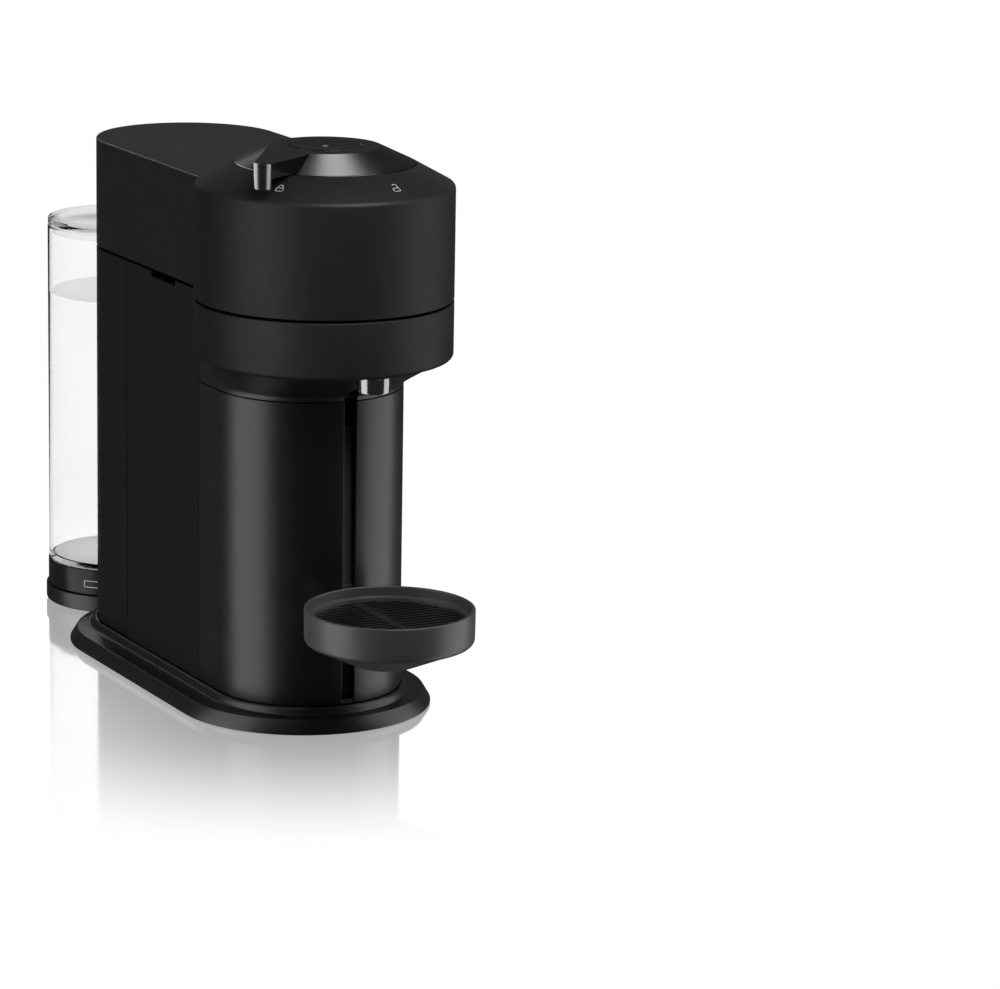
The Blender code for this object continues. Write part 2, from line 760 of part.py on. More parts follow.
def make_head_cover():
    """The round upper shell with its conical top and the seat of the lever ring."""
    seat = 0.3010
    edge = RING_BASE_R + 0.0004
    profile = [
        (HEAD_R, LID_BOTTOM),
        (HEAD_R, 0.2899),
        (HEAD_R - 0.0003, 0.2914),
        (HEAD_R - 0.0010, 0.2925),
        (HEAD_R - 0.0024, cone_height(HEAD_R - 0.0024)),
        (edge, cone_height(edge)),
        (edge, seat),
        (0.0240, seat),
        (0.0240, seat - WALL),
        (0.0500, seat - WALL),
        (HEAD_R - WALL, 0.2893),
        (HEAD_R - WALL, LID_BOTTOM),
    ]
    cover = turned("head_cover", "black_matte", profile, 0, HEAD_Y, ROUND)
    doorway = box("cover_doorway", None, (-0.0364, HEAD_Y + 0.0400, 0.22), (0.0364, HEAD_Y + 0.0800, 0.2374))
    return cut(cover, doorway)


def make_rear_cap(head_clearance):
    """The flat-topped cover behind the head, open below and towards the head."""
    rings = []
    profile = ((0, LID_BOTTOM), (0, CAP_TOP - 0.0015), (0.0005, CAP_TOP - 0.0004), (0.0015, CAP_TOP))
    for inset, height in profile:
        outline = rear_half(BODY_R - inset, BODY_REAR_Y, HEAD_Y)
        rings.append([(x, y, height) for x, y in outline])
    cap = loft("rear_cap", "black_matte", rings)
    inside = rear_half(BODY_R - WALL, BODY_REAR_Y, HEAD_Y - 0.01)
    hollow = prism("cap_hollow", None, inside, LID_BOTTOM - 0.01, CAP_TOP - WALL)
    notch = box("cap_notch", None, (-0.0135, BODY_REAR_Y + 0.03, 0.22), (0.0135, TANK_Y, 0.2348))
    return cut(cap, hollow, head_clearance, notch)


def make_lid_frame():
    """The plate that ties the head to the hinge, with a knuckle at its rear."""
    low, top = 0.2335, 0.2370
    plate = turned(
        "lid_frame",
        "frame_plastic",
        [(0.0360, low), (0.0620, low), (0.0620, top), (0.0360, top)],
        0,
        HEAD_Y,
        32,
    )
    arm = box("lid_arm", None, (-0.036, HEAD_Y + 0.0450, low), (0.036, HEAD_Y + 0.2050, top))
    tongue = box("lid_tongue", None, (-0.0078, HEAD_Y + 0.1950, 0.2322), (0.0078, PIVOT_Y, 0.2345))
    knuckle = rod("lid_knuckle", None, 0.0022, (-0.0078, PIVOT_Y, PIVOT_Z), (0.0078, PIVOT_Y, PIVOT_Z), 20)
    join(plate, arm, tongue, knuckle)
    bore = rod("knuckle_bore", None, 0.0013, (-0.02, PIVOT_Y, PIVOT_Z), (0.02, PIVOT_Y, PIVOT_Z), 20)
    return cut(plate, bore)


def make_hinge():
    """Two ears on a block inside the rear shell, and the pin through them."""
    low = (-0.0124, PIVOT_Y - 0.0100, 0.1905)
    bracket = box("hinge_bracket", "steel", low, (0.0124, PIVOT_Y - 0.0034, 0.2250))
    for side, name in ((-1, "left"), (1, "right")):
        low, high = sorted((side * 0.0082, side * 0.0124))
        arm = box(f"ear_arm_{name}", None, (low, PIVOT_Y - 0.0060, 0.2200), (high, PIVOT_Y - 0.0036, 0.2305))
        reach = box(f"ear_reach_{name}", None, (low, PIVOT_Y - 0.0058, 0.2276), (high, PIVOT_Y, 0.2304))
        ear = rod(f"ear_{name}", None, 0.0022, (low, PIVOT_Y, PIVOT_Z), (high, PIVOT_Y, PIVOT_Z), 20)
        join(bracket, arm, reach, ear)
    bore = rod("ear_bore", None, 0.0013, (-0.02, PIVOT_Y, PIVOT_Z), (0.02, PIVOT_Y, PIVOT_Z), 20)
    cut(bracket, bore)
    rod("hinge_pin", "steel", 0.0010, (-0.0128, PIVOT_Y, PIVOT_Z), (0.0128, PIVOT_Y, PIVOT_Z), 16)


def lever_point(side, radius):
    """A point in plan at a radius from the head's axis, and at an angle to the side of the lever."""
    angle = math.radians(LEVER_ANGLE + side)
    return (-radius * math.sin(angle), HEAD_Y - radius * math.cos(angle))


def make_lever():
    """The conical ring and its arm, with a grip that hangs over the head's cone."""
    spigot = 0.0236
    hole = BUTTON_R + 0.0004
    seat = 0.3013
    profile = [
        (hole, 0.2900),
        (spigot, 0.2900),
        (spigot, seat),
        (RING_BASE_R, seat),
        (RING_BASE_R, RING_BASE_Z),
        (RING_TOP_R, RING_TOP_Z),
        (hole, RING_TOP_Z),
    ]
    lever = turned("lever", "dark_chrome", profile, 0, HEAD_Y, ROUND)
    around = [(66, 0.0299), (4.0, 0.0703), (-4.4, 0.0704), (-9.1, 0.0432)]
    around += [(-12.5, 0.0305), (5, 0.0250), (40, 0.0250)]
    outline = [lever_point(side, radius) for side, radius in around]
    arm = prism("lever_arm", None, outline, 0.3046, RING_TOP_Z - 0.0002)
    around = [(4.5 * k / 3, 0.0709 - 0.0014 * (k / 3) ** 2) for k in range(3, -4, -1)]
    outline = [lever_point(side, radius) for side, radius in [*around, (-4.6, 0.0668), (4.6, 0.0668)]]
    grip = prism("lever_grip", None, outline, 0.2981, RING_TOP_Z - 0.0004)
    return join(lever, arm, grip)


def make_lock_ring():
    """The tube and the flange with three lugs that the lever turns inside the head."""
    inner, outer = BUTTON_R + 0.0004, 0.0236
    profile = [
        (inner, 0.2400),
        (0.0540, 0.2400),
        (0.0540, 0.2430),
        (outer, 0.2430),
        (outer, 0.2896),
        (inner, 0.2896),
    ]
    ring = turned("lock_ring", "frame_plastic", profile, 0, HEAD_Y, 28)
    for number in range(3):
        lug = box(f"lock_lug_{number}", None, (-0.006, 0.0500, 0.2403), (0.006, 0.0610, 0.2427))
        turn = Matrix.Rotation(math.tau * number / 3 + math.pi / 6, 4, "Z")
        lug.data.transform(Matrix.Translation((0, HEAD_Y, 0)) @ turn)
        join(ring, lug)
    return ring


def make_button():
    radius = BUTTON_R
    profile = [
        (0, BUTTON_TOP_Z),
        (radius - 0.0008, BUTTON_TOP_Z),
        (radius, BUTTON_TOP_Z - 0.0008),
        (radius, 0.3095),
        (0.0050, 0.3095),
        (0.0050, 0.2990),
        (0, 0.2990),
    ]
    return turned("power_button", "black_gloss", profile, 0, HEAD_Y, 32)


def make_button_spring():
    """A coil between the button's board and its underside."""
    low, high, radius, turns, per_turn = 0.2975, 0.3088, 0.0066, 3, 8
    curve = bpy.data.curves.new("button_spring", "CURVE")
    curve.dimensions = "3D"
    curve.bevel_depth = 0.0004
    curve.bevel_resolution = 1
    curve.use_fill_caps = True
    spline = curve.splines.new("POLY")
    count = turns * per_turn
    spline.points.add(count)
    for i, point in enumerate(spline.points):
        angle = math.tau * i / per_turn
        height = low + (high - low) * i / count
        point.co = (radius * math.cos(angle), radius * math.sin(angle), height, 1.0)
    curve.materials.append(material("steel"))
    obj = bpy.data.objects.new("button_spring", curve)
    obj.location = (0, HEAD_Y, 0)
    bpy.context.scene.collection.objects.link(obj)
    return obj


def make_button_board():
    profile = [(0.0056, 0.2950), (0.0190, 0.2950), (0.0190, 0.2966), (0.0056, 0.2966)]
    return turned("button_board", "circuit_green", profile, 0, HEAD_Y)


def make_injector():
    plate = [
        (0, 0.2420),
        (0.0030, 0.2420),
        (0.0030, 0.2362),
        (0.0340, 0.2362),
        (0.0340, 0.2320),
        (0.0300, 0.2302),
        (0.0026, 0.2302),
        (0.0010, 0.2250),
        (0, 0.2250),
    ]
    injector = turned("injector_plate", "frame_plastic", plate, 0, HEAD_Y, 24)
    ring = [(0.0034, 0.2368), (0.0120, 0.2368), (0.0120, 0.2396), (0.0034, 0.2396)]
    bearing = turned("injector_bearing", "steel", ring, 0, HEAD_Y, 24)
    return injector, bearing


# ---------------------------------------------------------------- assembly


def build():
    clear_scene()
    head_clearance = cylinder("head_clearance", HEAD_R + GAP, 0.1985, 0.33, 0, HEAD_Y, ROUND)
    plate = make_base_plate()
    make_feet()
    make_chassis(plate)
    make_side_panels(head_clearance)
    make_rear_shell()
    make_cord_gland()
    motor_hole = cylinder("motor_hole", 0.0300, 0.17, 0.21, 0, HEAD_Y, 40)
    spout_hole = cylinder("neck_spout_hole", SPOUT_R + 0.0004, 0.17, 0.21, 0, SPOUT_Y)
    make_neck(motor_hole, spout_hole)
    make_collar()
    make_spout()
    make_brewing_unit()
    make_head_bracket()
    make_water_system()
    make_control_board()
    make_tank_coupling()
    make_hinge()

    container_place = (0, COLUMN_Y, 0)
    container = joint_empty("container_axis", container_place)
    carry(container, container_place, *make_container())
    support_place = (0, SUPPORT_Y, 0)
    support = joint_empty("support_axis", support_place, container, container_place)
    carry(support, support_place, make_cup_support(), make_drip_grid())

    tank_place = (0, TANK_Y, 0)
    tank = joint_empty("tank_axis", tank_place)
    tank_pieces, tank_lid = make_tank()
    carry(tank, tank_place, *tank_pieces, tank_lid)

    lid_place = (0, PIVOT_Y, PIVOT_Z)
    lid = joint_empty("lid_axis", lid_place)
    injector, bearing = make_injector()
    pieces = [
        make_head_cover(),
        make_rear_cap(head_clearance),
        make_lid_frame(),
        make_lever(),
        make_lock_ring(),
        make_button(),
        make_button_spring(),
        make_button_board(),
        injector,
        bearing,
    ]
    carry(lid, lid_place, *pieces)


build()
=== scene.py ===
"""Looks of a pod coffee machine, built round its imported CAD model.

The main places and sizes come from the CAD nodes' boxes, and those that no box gives are written
in millimetres times MM. Metres, +Z up, the front faces -Y.
"""

import json
from math import asin, atan2, cos, degrees, hypot, pi, radians, sin, sqrt, tan, tau

import bmesh
import bpy
from mathutils import Matrix, Vector


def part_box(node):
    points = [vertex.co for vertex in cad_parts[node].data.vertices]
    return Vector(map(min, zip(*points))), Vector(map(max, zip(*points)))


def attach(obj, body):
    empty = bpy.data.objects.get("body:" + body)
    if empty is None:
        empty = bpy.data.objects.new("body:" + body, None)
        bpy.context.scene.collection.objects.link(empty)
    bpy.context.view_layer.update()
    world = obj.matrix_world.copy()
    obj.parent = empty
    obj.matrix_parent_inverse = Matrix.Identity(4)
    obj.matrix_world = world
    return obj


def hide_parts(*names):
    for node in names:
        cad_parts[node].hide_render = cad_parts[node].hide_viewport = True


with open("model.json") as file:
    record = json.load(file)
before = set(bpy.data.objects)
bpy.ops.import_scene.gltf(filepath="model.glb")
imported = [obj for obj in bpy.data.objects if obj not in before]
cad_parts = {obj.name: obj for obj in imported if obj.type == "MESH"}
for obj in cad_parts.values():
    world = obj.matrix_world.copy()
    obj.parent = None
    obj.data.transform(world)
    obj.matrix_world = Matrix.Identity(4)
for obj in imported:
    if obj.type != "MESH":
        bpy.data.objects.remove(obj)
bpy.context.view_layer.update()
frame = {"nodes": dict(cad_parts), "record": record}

MM = 0.001
SMOOTH_ANGLE = radians(30)
ROUND_STEPS = 192
SMALL_STEPS = 96

LOW, HIGH = 0, 1  # which corner of a node's box


def corner(node, which):
    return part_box(node)[which]


def middle(node, axis):
    low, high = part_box(node)
    return (low[axis] + high[axis]) / 2


# Places and sizes from the CAD nodes' boxes
HEAD_Y = middle("lock_ring", 1)
HEAD_R = corner("head_cover", HIGH).x
BODY_R = corner("container_front", HIGH).x
COLUMN_Y = corner("container_front", LOW).y + BODY_R
FRONT_SEAM = corner("container_front", HIGH).y
REAR_Y = corner("rear_shell", HIGH).y - BODY_R
REAR_SEAM = corner("rear_shell", LOW).y
BODY_Z = corner("side_panel_left", LOW).z
COLLAR_LOW, COLLAR_HIGH = corner("collar", LOW).z, corner("collar", HIGH).z
LID_LOW = corner("rear_cap", LOW).z
CAP_TOP = corner("rear_cap", HIGH).z
RING_TOP = corner("lever", HIGH).z
BUTTON_R = corner("power_button", HIGH).x
SPOUT_Y = middle("coffee_spout", 1)
SUPPORT_Y = corner("drip_grid", LOW).y + corner("drip_grid", HIGH).x
SUPPORT_R = corner("cup_support", HIGH).x
SUPPORT_TOP = corner("cup_support", HIGH).z
TANK_Y = middle("tank", 1)
TANK_R = corner("tank", HIGH).x
TANK_INNER_R = TANK_R - 2 * MM
TANK_FLOOR = corner("tank", LOW).z + 2.5 * MM

# Sizes that no node's box gives
WALL = 2.5 * MM
PANEL_GAP = 0.3 * MM
EDGE, CRISP_EDGE = 0.3 * MM, 0.2 * MM  # the usual roundings of a moulded edge
OVERCUT = 10 * MM  # how far a cutting shape reaches past what it cuts
UNDER_LID = 220 * MM  # a height a little under the lid's seam
HINGE_NOTCH_HALF = 13.5 * MM
SLOT_HALF = 3.8 * MM
SPOUT_STEM_R = 7 * MM
RING_BASE_R = 48.25 * MM
RING_BASE_Z = 304.1 * MM
RING_FLAT_R = 29.9 * MM
RIM_Z = 292.3 * MM
FLARE_FILLET = 6.0 * MM
FLARE_ANGLE = radians(47.0)  # from vertical
NECK_TOP_R = 64.0 * MM
LEVER_ANGLE = 55.0  # degrees from straight ahead towards the left side
ICON_SCALE = 1.08
ICON_LINE = 0.42  # of the icon's own millimetres


# ---------------- mesh helpers


def add_to_scene(name, data):
    thing = bpy.data.objects.new(name, data)
    bpy.context.scene.collection.objects.link(thing)
    return thing


def finish(bm, name, material=None, body=None, replaces=(), slot=None, bevel=0.0):
    """A piece from a bmesh, smooth. With a body it rides on that and replaces its CAD nodes."""
    bmesh.ops.recalc_face_normals(bm, faces=bm.faces)
    mesh = bpy.data.meshes.new(name)
    bm.to_mesh(mesh)
    bm.free()
    mesh.shade_smooth()
    mesh.set_sharp_from_angle(angle=SMOOTH_ANGLE)
    piece = add_to_scene(name, mesh)
    if material:
        mesh.materials.append(material)
    if bevel:
        add_bevel(piece, bevel)
    if body:
        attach(piece, body)
        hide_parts(*replaces)
    return piece


def slot_look(materials, slot, body):
    return dict(material=materials[slot], body=body, slot=slot)


def add_bevel(piece, width, segments=3):
    modifier = piece.modifiers.new("soft_edges", "BEVEL")
    modifier.width = width
    modifier.segments = segments
    modifier.limit_method = "ANGLE"
    modifier.angle_limit = radians(40)
    modifier.harden_normals = False


def even_shading(piece):
    """Keeps wide flat faces flat in shading, next to narrow rounded edges."""
    modifier = piece.modifiers.new("even_shading", "WEIGHTED_NORMAL")
    modifier.mode = "FACE_AREA"
    modifier.weight = 80
    modifier.keep_sharp = True


def boolean(piece, other, operation="DIFFERENCE"):
    """Cuts a piece with a shape made for that, or joins the two. The shape itself is used up."""
    modifier = piece.modifiers.new("shape", "BOOLEAN")
    modifier.operation = operation
    modifier.solver = "EXACT"
    modifier.object = other
    graph = bpy.context.evaluated_depsgraph_get()
    made = bpy.data.meshes.new_from_object(piece.evaluated_get(graph))
    piece.modifiers.remove(modifier)
    old = piece.data
    piece.data = made
    bpy.data.meshes.remove(old)
    bpy.data.objects.remove(other, do_unlink=True)
    made.shade_smooth()
    made.set_sharp_from_angle(angle=SMOOTH_ANGLE)


def circle(radius, height, centre_y, steps=ROUND_STEPS, centre_x=0.0):
    angles = [tau * i / steps for i in range(steps)]
    return [(centre_x + radius * cos(a), centre_y + radius * sin(a), height) for a in angles]


def bridge(bm, first, second):
    """Faces between two loops of vertices. A loop may be one vertex, repeated."""
    count = len(first)
    for i in range(count):
        j = (i + 1) % count
        bm.faces.new(list(dict.fromkeys([first[i], first[j], second[j], second[i]])))


def loft_into(bm, rings):
    """Faces through rings of points with the same count, with flat ends."""
    loops = [[bm.verts.new(point) for point in ring] for ring in rings]
    for first, second in zip(loops, loops[1:]):
        bridge(bm, first, second)
    bm.faces.new(loops[0])
    bm.faces.new(loops[-1])


def loft(name, rings, **look):
    bm = bmesh.new()
    loft_into(bm, rings)
    return finish(bm, name, **look)


def rounded(corners, steps=5):
    """An outline from (x, z, radius) corners, each rounded by an arc of its radius."""
    outline = []
    count = len(corners)
    for index, (x, z, radius) in enumerate(corners):
        here = Vector((x, z))
        if not radius:
            outline.append((x, z))
            continue
        before = Vector(corners[index - 1][:2]) - here
        after = Vector(corners[(index + 1) % count][:2]) - here
        half = before.angle(after) / 2
        reach = radius / tan(half)
        centre = here + (before.normalized() + after.normalized()).normalized() * radius / sin(half)
        start = here + before.normalized() * reach - centre
        end = here + after.normalized() * reach - centre
        turn = start.angle_signed(end)
        for step in range(steps + 1):
            arm = start.copy()
            arm.rotate(Matrix.Rotation(-turn * step / steps, 2))
            outline.append(tuple(centre + arm))
    return outline


def turned(name, corners, centre_y, steps=ROUND_STEPS, **look):
    """A profile of (radius, height, fillet) corners turned about a vertical axis.
    It is closed unless it starts and ends on the axis."""
    outline = rounded(corners)
    bm = bmesh.new()
    on_axis = corners[0][0] == 0 and corners[-1][0] == 0
    loops = []
    for radius, height in outline:
        if radius < 1e-6:
            loops.append([bm.verts.new((0, centre_y, height))] * steps)
        else:
            loops.append([bm.verts.new(point) for point in circle(radius, height, centre_y, steps)])
    pairs = list(zip(loops, loops[1:])) + ([] if on_axis else [(loops[-1], loops[0])])
    for first, second in pairs:
        bridge(bm, first, second)
    return finish(bm, name, **look)


def arc(centre_y, radius, start, end, steps):
    """Points of an arc in plan, with angles in degrees from +X."""
    angles = [radians(start + (end - start) * i / steps) for i in range(steps + 1)]
    return [(radius * cos(a), centre_y + radius * sin(a)) for a in angles]


def stadium(radius, front_y, rear_y, steps=72):
    """Two half circles joined by straight sides, in plan."""
    return arc(front_y, radius, -180, 0, steps) + arc(rear_y, radius, 0, 180, steps)


def at_height(outline, height):
    """A plan outline as a ring of points."""
    return [(x, y, height) for x, y in outline]


def prism_into(bm, outline, bottom, top):
    loft_into(bm, [at_height(outline, bottom), at_height(outline, top)])


def prism(name, outline, bottom, top, **look):
    bm = bmesh.new()
    prism_into(bm, outline, bottom, top)
    return finish(bm, name, **look)


def block(name, low, high, **look):
    outline = [(low[0], low[1]), (high[0], low[1]), (high[0], high[1]), (low[0], high[1])]
    return prism(name, outline, low[2], high[2], **look)


def plug(name, radius, centre_y, bottom, top, steps=SMALL_STEPS):
    """An upright cylinder that cuts a round hole."""
    return loft(name, [circle(radius, height, centre_y, steps) for height in (bottom, top)])


def mirrored(path):
    """A plan path of (point, outward normal) on the other side of the object."""
    return [((-x, y), (-nx, ny)) for (x, y), (nx, ny) in path]


def swept_wall(bm, path, section):
    """A wall along a plan path of (point, outward normal), with a closed (offset, height) section."""
    rings = []
    for (x, y), (nx, ny) in path:
        rings.append([(x + nx * offset, y + ny * offset, height) for offset, height in section])
    loft_into(bm, rings)


def side_path(centre_y, start, end, seam_y, steps=64):
    """The plan path of a half-round end from an angle to the seam on the flat side it runs into.
    Angles are in degrees from +X, and the path has the body's outer surface on its outer side."""
    path = []
    for i in range(steps + 1):
        a = radians(start + (end - start) * i / steps)
        normal = (cos(a), sin(a))
        path.append(((BODY_R * normal[0], centre_y + BODY_R * normal[1]), normal))
    last = path[-1]
    path.append(((last[0][0], seam_y), last[1]))
    return path


def wall_section(low, high, edge=0.5 * MM):
    """A wall's section with rounded outer edges, as offsets from its outer surface."""
    return rounded([(0, low, edge), (0, high, edge), (-WALL, high, edge / 2), (-WALL, low, edge / 2)], 3)


# ---------------- materials


def new_material(name):
    """A material, its node tree, its shader, and the place on the piece."""
    material = bpy.data.materials.new(name)
    material.use_nodes = True
    tree = material.node_tree
    place = tree.nodes.new("ShaderNodeTexCoord").outputs["Object"]
    return material, tree, tree.nodes["Principled BSDF"], place


def add_node(tree, kind, **inputs):
    """A node with values in its inputs. An underscore in a keyword is a space in the input's name."""
    node = tree.nodes.new(kind)
    for key, value in inputs.items():
        node.inputs[key.replace("_", " ")].default_value = value
    return node


def noise(tree, coordinates, scale, detail=3.0):
    node = add_node(tree, "ShaderNodeTexNoise", Scale=scale, Detail=detail)
    tree.links.new(coordinates, node.inputs["Vector"])
    return node.outputs["Fac"]


def ranged(tree, value, low, high):
    """A noise value, which mostly lies between 0.3 and 0.7, spread over a range."""
    node = add_node(tree, "ShaderNodeMapRange", From_Min=0.3, From_Max=0.7, To_Min=low, To_Max=high)
    tree.links.new(value, node.inputs["Value"])
    return node.outputs["Result"]


def blended(tree, factor, first, second):
    node = tree.nodes.new("ShaderNodeMix")
    node.data_type = "RGBA"
    node.inputs["A"].default_value = (*first, 1.0)
    node.inputs["B"].default_value = (*second, 1.0)
    tree.links.new(factor, node.inputs["Factor"])
    return node.outputs["Result"]


def vary(tree, shader, tone, colors, gloss, span):
    """Lets one noise move the colour between two, and another the roughness over a span."""
    tree.links.new(blended(tree, ranged(tree, tone, 0, 1), *colors), shader.inputs["Base Color"])
    tree.links.new(ranged(tree, gloss, *span), shader.inputs["Roughness"])


def bumped(tree, shader, height, distance, strength=0.5):
    node = add_node(tree, "ShaderNodeBump", Strength=strength, Distance=distance)
    tree.links.new(height, node.inputs["Height"])
    tree.links.new(node.outputs["Normal"], shader.inputs["Normal"])


def moulded(name, color, roughness, grain=0.02 * MM, grain_scale=2600.0, spread=0.04, specular=0.5):
    """Moulded plastic: a fine spark-eroded grain, and slow changes of tone and gloss."""
    material, tree, shader, place = new_material(name)
    slow = noise(tree, place, 9.0, 2.0)
    lighter = [min(1.0, c * 1.12) for c in color]
    patchy = noise(tree, place, 60.0, 4.0)
    vary(tree, shader, slow, (color, lighter), patchy, (roughness - spread, roughness + spread))
    shader.inputs["Specular IOR Level"].default_value = specular
    bumped(tree, shader, noise(tree, place, grain_scale, 2.0), grain)
    return material


def metal(name, color, roughness, stretch=(1.0, 1.0, 40.0), depth=0.004 * MM, spread=0.03):
    """Metal with fine lines along one direction."""
    material, tree, shader, place = new_material(name)
    mapping = tree.nodes.new("ShaderNodeMapping")
    mapping.inputs["Scale"].default_value = stretch
    tree.links.new(place, mapping.inputs["Vector"])
    lines = noise(tree, mapping.outputs["Vector"], 120.0, 4.0)
    shader.inputs["Metallic"].default_value = 1.0
    darker = [c * 0.9 for c in color]
    span = (max(0.01, roughness - spread), roughness + spread)
    vary(tree, shader, lines, (darker, color), lines, span)
    bumped(tree, shader, lines, depth, 0.3)
    return material


def clear(name, color, roughness, ior, wave=0.01 * MM, absorbed=0.0):
    """Clear plastic or water with a hardly visible wave. If it absorbs, it is darker where it is deep."""
    material, tree, shader, place = new_material(name)
    slow = noise(tree, place, 30.0, 2.0)
    duller = [c * 0.985 for c in color]
    patchy = noise(tree, place, 90.0)
    vary(tree, shader, slow, (duller, color), patchy, (roughness * 0.5, roughness * 1.5))
    shader.inputs["Transmission Weight"].default_value = 1.0
    shader.inputs["IOR"].default_value = ior
    bumped(tree, shader, slow, wave, 0.2)
    if absorbed:
        depth = add_node(tree, "ShaderNodeVolumeAbsorption", Color=(0, 0, 0, 1), Density=absorbed)
        tree.links.new(depth.outputs["Volume"], tree.nodes["Material Output"].inputs["Volume"])
    return material


def make_materials():
    """The record's material slots by name, and the looks that only scene.py's own pieces have."""
    return {
        "black_matte": moulded("satin_black", (0.0125, 0.0125, 0.0130), 0.50),
        "black_gloss": moulded("gloss_black", (0.0030, 0.0030, 0.0032), 0.36, 0.003 * MM, 900.0, 0.02),
        "support_grey": moulded("satin_grey", (0.045, 0.045, 0.047), 0.40),
        "grid_black": moulded("grid_black", (0.006, 0.006, 0.006), 0.34),
        "dark_chrome": metal("smoked_chrome", (0.20, 0.20, 0.205), 0.25, (1.0, 1.0, 8.0), 0.0002 * MM, 0.02),
        "chrome": metal("spout_chrome", (0.28, 0.28, 0.285), 0.14, (1.0, 1.0, 6.0), 0.002 * MM, 0.02),
        "clear_plastic": clear("clear_plastic", (0.998, 0.999, 1.0), 0.04, 1.08, absorbed=12),
        "tank_floor": moulded("pale_floor", (0.60, 0.60, 0.605), 0.45, 0.01 * MM, 900.0),
        # painted reflection: a grey film that stands in for the reflection on the water's surface
        "water_painted_reflection": clear("water_painted_reflection", (0.80, 0.80, 0.805), 0.02, 1.02, 0.002 * MM),
        "lid_clear": clear("lid_clear", (0.92, 0.925, 0.93), 0.05, 1.06, absorbed=24),
        "water": clear("water", (0.997, 0.999, 1.0), 0.005, 1.02, 0.002 * MM),
        "tank_base_dark": moulded(
            "smoked_base", (0.008, 0.008, 0.009), 0.26, 0.003 * MM, 700.0, 0.03, specular=0.22
        ),
        "rubber": moulded("black_rubber", (0.013, 0.013, 0.013), 0.85, 0.06 * MM, 900.0),
        "frame_plastic": moulded("frame_plastic", (0.055, 0.056, 0.060), 0.55, 0.03 * MM, 1500.0),
        "hose_silicone": moulded("silicone_hose", (0.55, 0.55, 0.53), 0.42, 0.01 * MM, 500.0),
        "steel": metal("brushed_steel", (0.52, 0.52, 0.53), 0.30),
        "aluminium": metal("cast_aluminium", (0.58, 0.59, 0.60), 0.45, (1.0, 1.0, 1.0), 0.03 * MM, 0.06),
        "circuit_green": moulded("circuit_green", (0.012, 0.075, 0.035), 0.35, 0.01 * MM, 1200.0),
        "icon_print": moulded("icon_print", (0.60, 0.60, 0.61), 0.45, 0.005 * MM, 1500.0),
        "slot_dark": moulded("slot_dark", (0.0030, 0.0030, 0.0032), 0.60),
    }


def dress_cad_nodes(materials):
    """Gives every CAD node the material of its slot."""
    for row in frame["record"]["subparts"]:
        node = frame["nodes"][row["node"]]
        node.data.materials.clear()
        node.data.materials.append(materials[row["material_slot"]])


# ---------------- base and body


def cone_height(radius):
    """The height of the head's cone at a radius from the head's axis."""
    slope = (RING_BASE_Z - RIM_Z) / (HEAD_R - RING_BASE_R)
    return RIM_Z + (HEAD_R - radius) * slope


def make_base(materials):
    """The plate's flared skirt with a crisp top edge, a hollow top and a bead round the body's foot."""
    plate_front, plate_rear = HEAD_Y + 23.3 * MM, HEAD_Y + 165.0 * MM
    # Radius and height in mm, and the share of the way from the plate's end centres to the body's
    sections = [
        (68.6, 0.3, 0.0), (70.4, 0.3, 0.0), (70.9, 0.6, 0.0), (71.0, 1.2, 0.0), (70.9, 1.8, 0.0),
        (69.0, 4.9, 0.0), (67.2, 7.8, 0.0), (67.0, 8.05, 0.0), (66.7, 8.2, 0.0), (66.3, 8.2, 0.01),
        (62.0, 8.2, 0.3), (58.0, 8.2, 0.7), (57.0, 8.3, 0.85), (56.3, 8.7, 0.95), (55.7, 9.5, 1.0),
        (55.1, 10.8, 1.0), (54.5, 11.7, 1.0), (53.7, 12.2, 1.0), (52.9, 12.2, 1.0), (52.4, 11.9, 1.0),
        (52.2, 11.2, 1.0), (50.0, 11.2, 1.0),
    ]
    rings = []
    for radius, height, share in sections:
        front = plate_front + (COLUMN_Y - plate_front) * share
        rear = plate_rear + (REAR_Y - plate_rear) * share
        rings.append(at_height(stadium(radius * MM, front, rear), height * MM))
    loft("base_shell", rings, replaces=["base_plate"], **slot_look(materials, "black_gloss", "base"))


def make_tank_platform(materials):
    """The round part of the base plate that the tank stands on."""
    bottom, top = corner("base_plate", LOW).z, 10.9 * MM
    radius = corner("base_plate", HIGH).y - TANK_Y
    corners = [(0, top, 0), (radius, top, 0.8 * MM), (radius, bottom, 1.2 * MM), (0, bottom, 0)]
    turned("tank_platform", corners, TANK_Y, **slot_look(materials, "black_gloss", "base"))


def make_side_panels(materials):
    """The flat panels, cut round under the head, with a finger notch under the lid's seam."""
    front, rear = FRONT_SEAM + 2 * PANEL_GAP, REAR_SEAM - 2 * PANEL_GAP
    notch_front, notch_rear = HEAD_Y + 77 * MM, HEAD_Y + 109 * MM
    notch_low, head_low = COLLAR_HIGH - 2.9 * MM, COLLAR_LOW - 0.4 * MM
    above = COLLAR_HIGH + 5 * MM
    for side, name in ((-1, "left"), (1, "right")):
        inner, outer = sorted((side * (BODY_R - WALL), side * BODY_R))
        panel = block(f"side_cover_{name}", (inner, front, BODY_Z), (outer, rear, COLLAR_HIGH))
        boolean(panel, plug("clearance", HEAD_R + PANEL_GAP, HEAD_Y, head_low, above, ROUND_STEPS))
        notch = block("notch", (inner - WALL, notch_front, notch_low), (outer + WALL, notch_rear, above))
        boolean(panel, notch)
        panel.data.materials.append(materials["black_matte"])
        add_bevel(panel, 0.35 * MM, 2)
        even_shading(panel)
        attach(panel, "base")
        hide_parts(f"side_panel_{name}")


